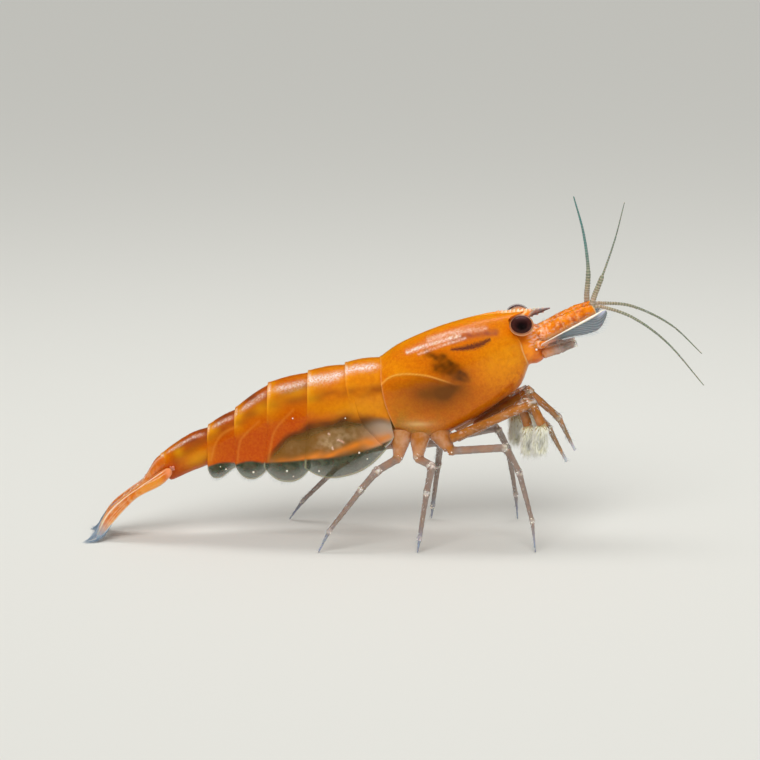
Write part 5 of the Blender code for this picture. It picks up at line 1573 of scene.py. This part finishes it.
def build_stage(sizes, colours):
    """Pale floor, soft studio light and the camera."""
    scene = bpy.context.scene
    mesh = bmesh.new()
    bmesh.ops.create_grid(mesh, x_segments=4, y_segments=4, size=FLOOR_HALF)
    data = bpy.data.meshes.new("studio_floor")
    mesh.to_mesh(data)
    mesh.free()
    # Matt studio paper: a pale even ground that shows soft shadows and no gloss
    paper = bpy.data.materials.new("matt_paper_floor")
    paper.use_nodes = True
    shader = paper.node_tree.nodes["Principled BSDF"]
    shader.inputs["Base Color"].default_value = (*colours.floor, 1.0)
    shader.inputs["Roughness"].default_value = 0.9
    data.materials.append(paper)
    floor = bpy.data.objects.new("studio_floor", data)
    scene.collection.objects.link(floor)
    world = bpy.data.worlds.new("studio")
    world.use_nodes = True
    world.node_tree.nodes["Background"].inputs["Color"].default_value = (1.0, 0.98, 0.95, 1.0)
    world.node_tree.nodes["Background"].inputs["Strength"].default_value = 0.3
    world.cycles_visibility.glossy = False
    scene.world = world
    sun = bpy.data.lights.new("broad_sky_panel", "SUN")
    sun.energy, sun.angle = 2.2, math.radians(40)
    lamp = bpy.data.objects.new("broad_sky_panel", sun)
    lamp.rotation_euler = (math.radians(42), math.radians(-14), 0.0)
    lamp.visible_glossy = False
    scene.collection.objects.link(lamp)
    centre = Vector((0.0, 0.0, 0.008))
    lamps = (("overhead_softbox", (0.0, 0.02, 0.12), (0.11, 0.03), 0.05),
             ("front_softbox", (0.05, -0.17, 0.09), (0.1, 0.08), 0.05))
    for name, place, size, watts in lamps:
        light = bpy.data.lights.new(name, "AREA")
        light.shape = "RECTANGLE"
        light.size, light.size_y = size
        light.energy = watts
        lamp = bpy.data.objects.new(name, light)
        lamp.location = place
        lamp.rotation_euler = (centre - Vector(place)).to_track_quat("-Z", "Y").to_euler()
        lamp.visible_glossy = name == "overhead_softbox"
        scene.collection.objects.link(lamp)
    camera_data = bpy.data.cameras.new("camera")
    camera = bpy.data.objects.new("camera", camera_data)
    scene.collection.objects.link(camera)
    aim = Vector((SEAM_X, 0.0, CAMERA_AIM)) * MM
    away = Vector((0, -math.cos(CAMERA_ELEVATION), math.sin(CAMERA_ELEVATION)))
    distance, frame_width = CAMERA_DISTANCE * MM, FRAME_WIDTH * MM
    camera.location = aim + away * distance
    camera.rotation_euler = (aim - camera.location).to_track_quat("-Z", "Y").to_euler()
    camera_data.sensor_width = SENSOR
    camera_data.lens = camera_data.sensor_width * distance / frame_width
    camera_data.clip_start, camera_data.clip_end = 0.001, 50.0
    scene.camera = camera
    scene.view_settings.view_transform = "Standard"
    scene.cycles.transparent_max_bounces = 32


def build_painted_glints_and_knobs(sizes, colours):
    """Small white grains, painted glints: on the side flaps, in rings at the joints, and the knobs of the
    tail.
    """
    rng = np.random.default_rng(GRAIN_SEED)
    # White glossy grains: painted glints, set as single bright points on the chitin
    white = living("white_grains_for_painted_glints", "#fff6ea", washes=(("v", "#fff6ea", 0),), relief=0.0,
                   roughness=0.15, coat=1.0, flesh=0.2, depth=0.1, mottles=(("#f4dccb", 0.1, 0.5),))
    flap_painted_glints = []
    for number, spots_ in FLAP_PAINTED_GLINTS:
        place = ring_place(number, 0.0)
        u, v = (part.ravel() for part in np.meshgrid(np.linspace(0, 1, 241), np.linspace(0, 1, 60)))
        shell = place(u, v)
        for x, z, radius in spots_:
            for _, side in SIDES:
                own = shell[shell[:, 1] * side > 0.3]
                gap = np.hypot(own[:, 0] - x, own[:, 2] - z)
                flap_painted_glints.append((*own[gap.argmin()], radius))
    piece(grains("flap_painted_glints", flap_painted_glints), (), white)
    joint_painted_glints = []
    limbs = [walking_leg_strand(name) for name in WALKING_LEGS]
    limbs += [front_limb_strand(name) for name in FRONT_LIMBS]
    for strand, shares_, full in limbs:
        for joint in shares_[1:-1]:
            at = np.clip(joint + rng.normal(0, 0.09, PAINTED_GLINTS_PER_JOINT) / full, 0.01, 0.99)
            for place in strand.place(rng.random(PAINTED_GLINTS_PER_JOINT), at, 0.97):
                joint_painted_glints.append((*place, rng.uniform(0.018, 0.042)))
    for _, side in SIDES:
        strand, _, _ = antenna_stem_strand(side)
        for place in strand.place(rng.random(22), np.clip(0.97 + rng.normal(0, 0.015, 22), 0.9, 1), 0.95):
            joint_painted_glints.append((*place, rng.uniform(0.02, 0.045)))
        joint_painted_glints.append((7.72, side * 1.1, 9.85, 0.06))
    piece(grains("joint_painted_glints", joint_painted_glints), (), white)
    # Satin coral chitin: small knobs with a soft gloss, pinker than the fan round them
    pink = living("pinkish_chitin_knobs", "#d8684c", washes=(("v", "#e89078", 0),),
                  roughness=0.35, coat=0.15, gloss=0.3, mottles=(("#f2c4ac", 0.1, 0.3),))
    knobs = [(-10.42 + rng.normal(0, 0.05), side * (0.82 + rng.normal(0, 0.02)), 3.76 + rng.normal(0, 0.05),
              rng.uniform(0.05, 0.085)) for _, side in SIDES for _ in range(KNOBS)]
    piece(grains("uropod_knobs", knobs), (), pink)


def grains(name, places):
    """One mesh of many small round grains, each (x, y, z, radius)."""
    shape = bmesh.new()
    bmesh.ops.create_icosphere(shape, subdivisions=2, radius=1.0)
    data, form = copies(name, shape, len(places))
    places = np.array(places)
    move(data, (places[:, None, :3] + form[None] * places[:, None, 3:]).reshape(-1, 3))
    mark(data, "v", np.full(len(data.vertices), 0.3))
    return data


# ------------------------------------------------------------------- operators and panel


def run(builder, context):
    """Build with the scene's sizes and colours."""
    builder(context.scene.shrimp_sizes, context.scene.shrimp_colours)
    return {"FINISHED"}


class SHRIMP_OT_flesh(bpy.types.Operator):
    """Build the soft body under the shells"""

    bl_idname = "shrimp.flesh"
    bl_label = "Flesh"

    def execute(self, context):
        return run(build_flesh, context)


class SHRIMP_OT_carapace(bpy.types.Operator):
    """Build the carapace and the rostrum"""

    bl_idname = "shrimp.carapace"
    bl_label = "Carapace"

    def execute(self, context):
        return run(build_carapace, context)


class SHRIMP_OT_eyes(bpy.types.Operator):
    """Build the eyes and their stalks"""

    bl_idname = "shrimp.eyes"
    bl_label = "Eyes"

    def execute(self, context):
        return run(build_eyes, context)


class SHRIMP_OT_abdomen(bpy.types.Operator):
    """Build the rings of the abdomen"""

    bl_idname = "shrimp.abdomen"
    bl_label = "Abdomen"

    def execute(self, context):
        return run(build_abdomen, context)


class SHRIMP_OT_swimmerets(bpy.types.Operator):
    """Build the swimmerets"""

    bl_idname = "shrimp.swimmerets"
    bl_label = "Swimmerets"

    def execute(self, context):
        return run(build_swimmerets, context)


class SHRIMP_OT_tail(bpy.types.Operator):
    """Build the tail fan"""

    bl_idname = "shrimp.tail"
    bl_label = "Tail fan"

    def execute(self, context):
        return run(build_tail, context)


class SHRIMP_OT_walking_legs(bpy.types.Operator):
    """Build the walking legs"""

    bl_idname = "shrimp.walking_legs"
    bl_label = "Walking legs"

    def execute(self, context):
        return run(build_walking_legs, context)


class SHRIMP_OT_front_limbs(bpy.types.Operator):
    """Build the maxillipeds and the clawed legs"""

    bl_idname = "shrimp.front_limbs"
    bl_label = "Front limbs"

    def execute(self, context):
        return run(build_front_limbs, context)


class SHRIMP_OT_feelers(bpy.types.Operator):
    """Build the feelers and their scales"""

    bl_idname = "shrimp.feelers"
    bl_label = "Feelers"

    def execute(self, context):
        return run(build_feelers, context)


class SHRIMP_OT_setae(bpy.types.Operator):
    """Build the bristles"""

    bl_idname = "shrimp.setae"
    bl_label = "Bristles"

    def execute(self, context):
        return run(build_setae, context)


class SHRIMP_OT_pearls(bpy.types.Operator):
    """Build the white grains of the painted glints and the knobs of the tail"""

    bl_idname = "shrimp.pearls"
    bl_label = "Grains"

    def execute(self, context):
        return run(build_painted_glints_and_knobs, context)


class SHRIMP_OT_stage(bpy.types.Operator):
    """Set up the floor, the lights and the camera"""

    bl_idname = "shrimp.stage"
    bl_label = "Stage"

    def execute(self, context):
        return run(build_stage, context)


OPERATORS = (SHRIMP_OT_stage, SHRIMP_OT_flesh, SHRIMP_OT_carapace, SHRIMP_OT_eyes, SHRIMP_OT_abdomen,
             SHRIMP_OT_swimmerets, SHRIMP_OT_tail, SHRIMP_OT_walking_legs, SHRIMP_OT_front_limbs,
             SHRIMP_OT_feelers, SHRIMP_OT_setae, SHRIMP_OT_pearls)


class SHRIMP_PT_panel(bpy.types.Panel):
    """Sidebar panel with the shrimp's sizes, colours and pieces"""

    bl_idname = "SHRIMP_PT_panel"
    bl_label = "Aquarium shrimp"
    bl_space_type = "VIEW_3D"
    bl_region_type = "UI"
    bl_category = "Shrimp"

    def draw(self, context):
        for group in (context.scene.shrimp_sizes, context.scene.shrimp_colours):
            for name in group.__annotations__:
                self.layout.prop(group, name)
        for operator in OPERATORS:
            self.layout.operator(operator.bl_idname)


CLASSES = (ShrimpColours, ShrimpSizes, *OPERATORS, SHRIMP_PT_panel)


def register():
    """Register the classes and put the settings on the scene."""
    for made in CLASSES:
        bpy.utils.register_class(made)
    bpy.types.Scene.shrimp_colours = bpy.props.PointerProperty(type=ShrimpColours)
    bpy.types.Scene.shrimp_sizes = bpy.props.PointerProperty(type=ShrimpSizes)


def unregister():
    """Take the settings off the scene and unregister the classes."""
    del bpy.types.Scene.shrimp_sizes
    del bpy.types.Scene.shrimp_colours
    for made in reversed(CLASSES):
        bpy.utils.unregister_class(made)


def main():
    """Register the classes and build every piece."""
    register()
    for operator in OPERATORS:
        group, name = operator.bl_idname.split(".")
        getattr(getattr(bpy.ops, group), name)()


if __name__ == "__main__":
    main()
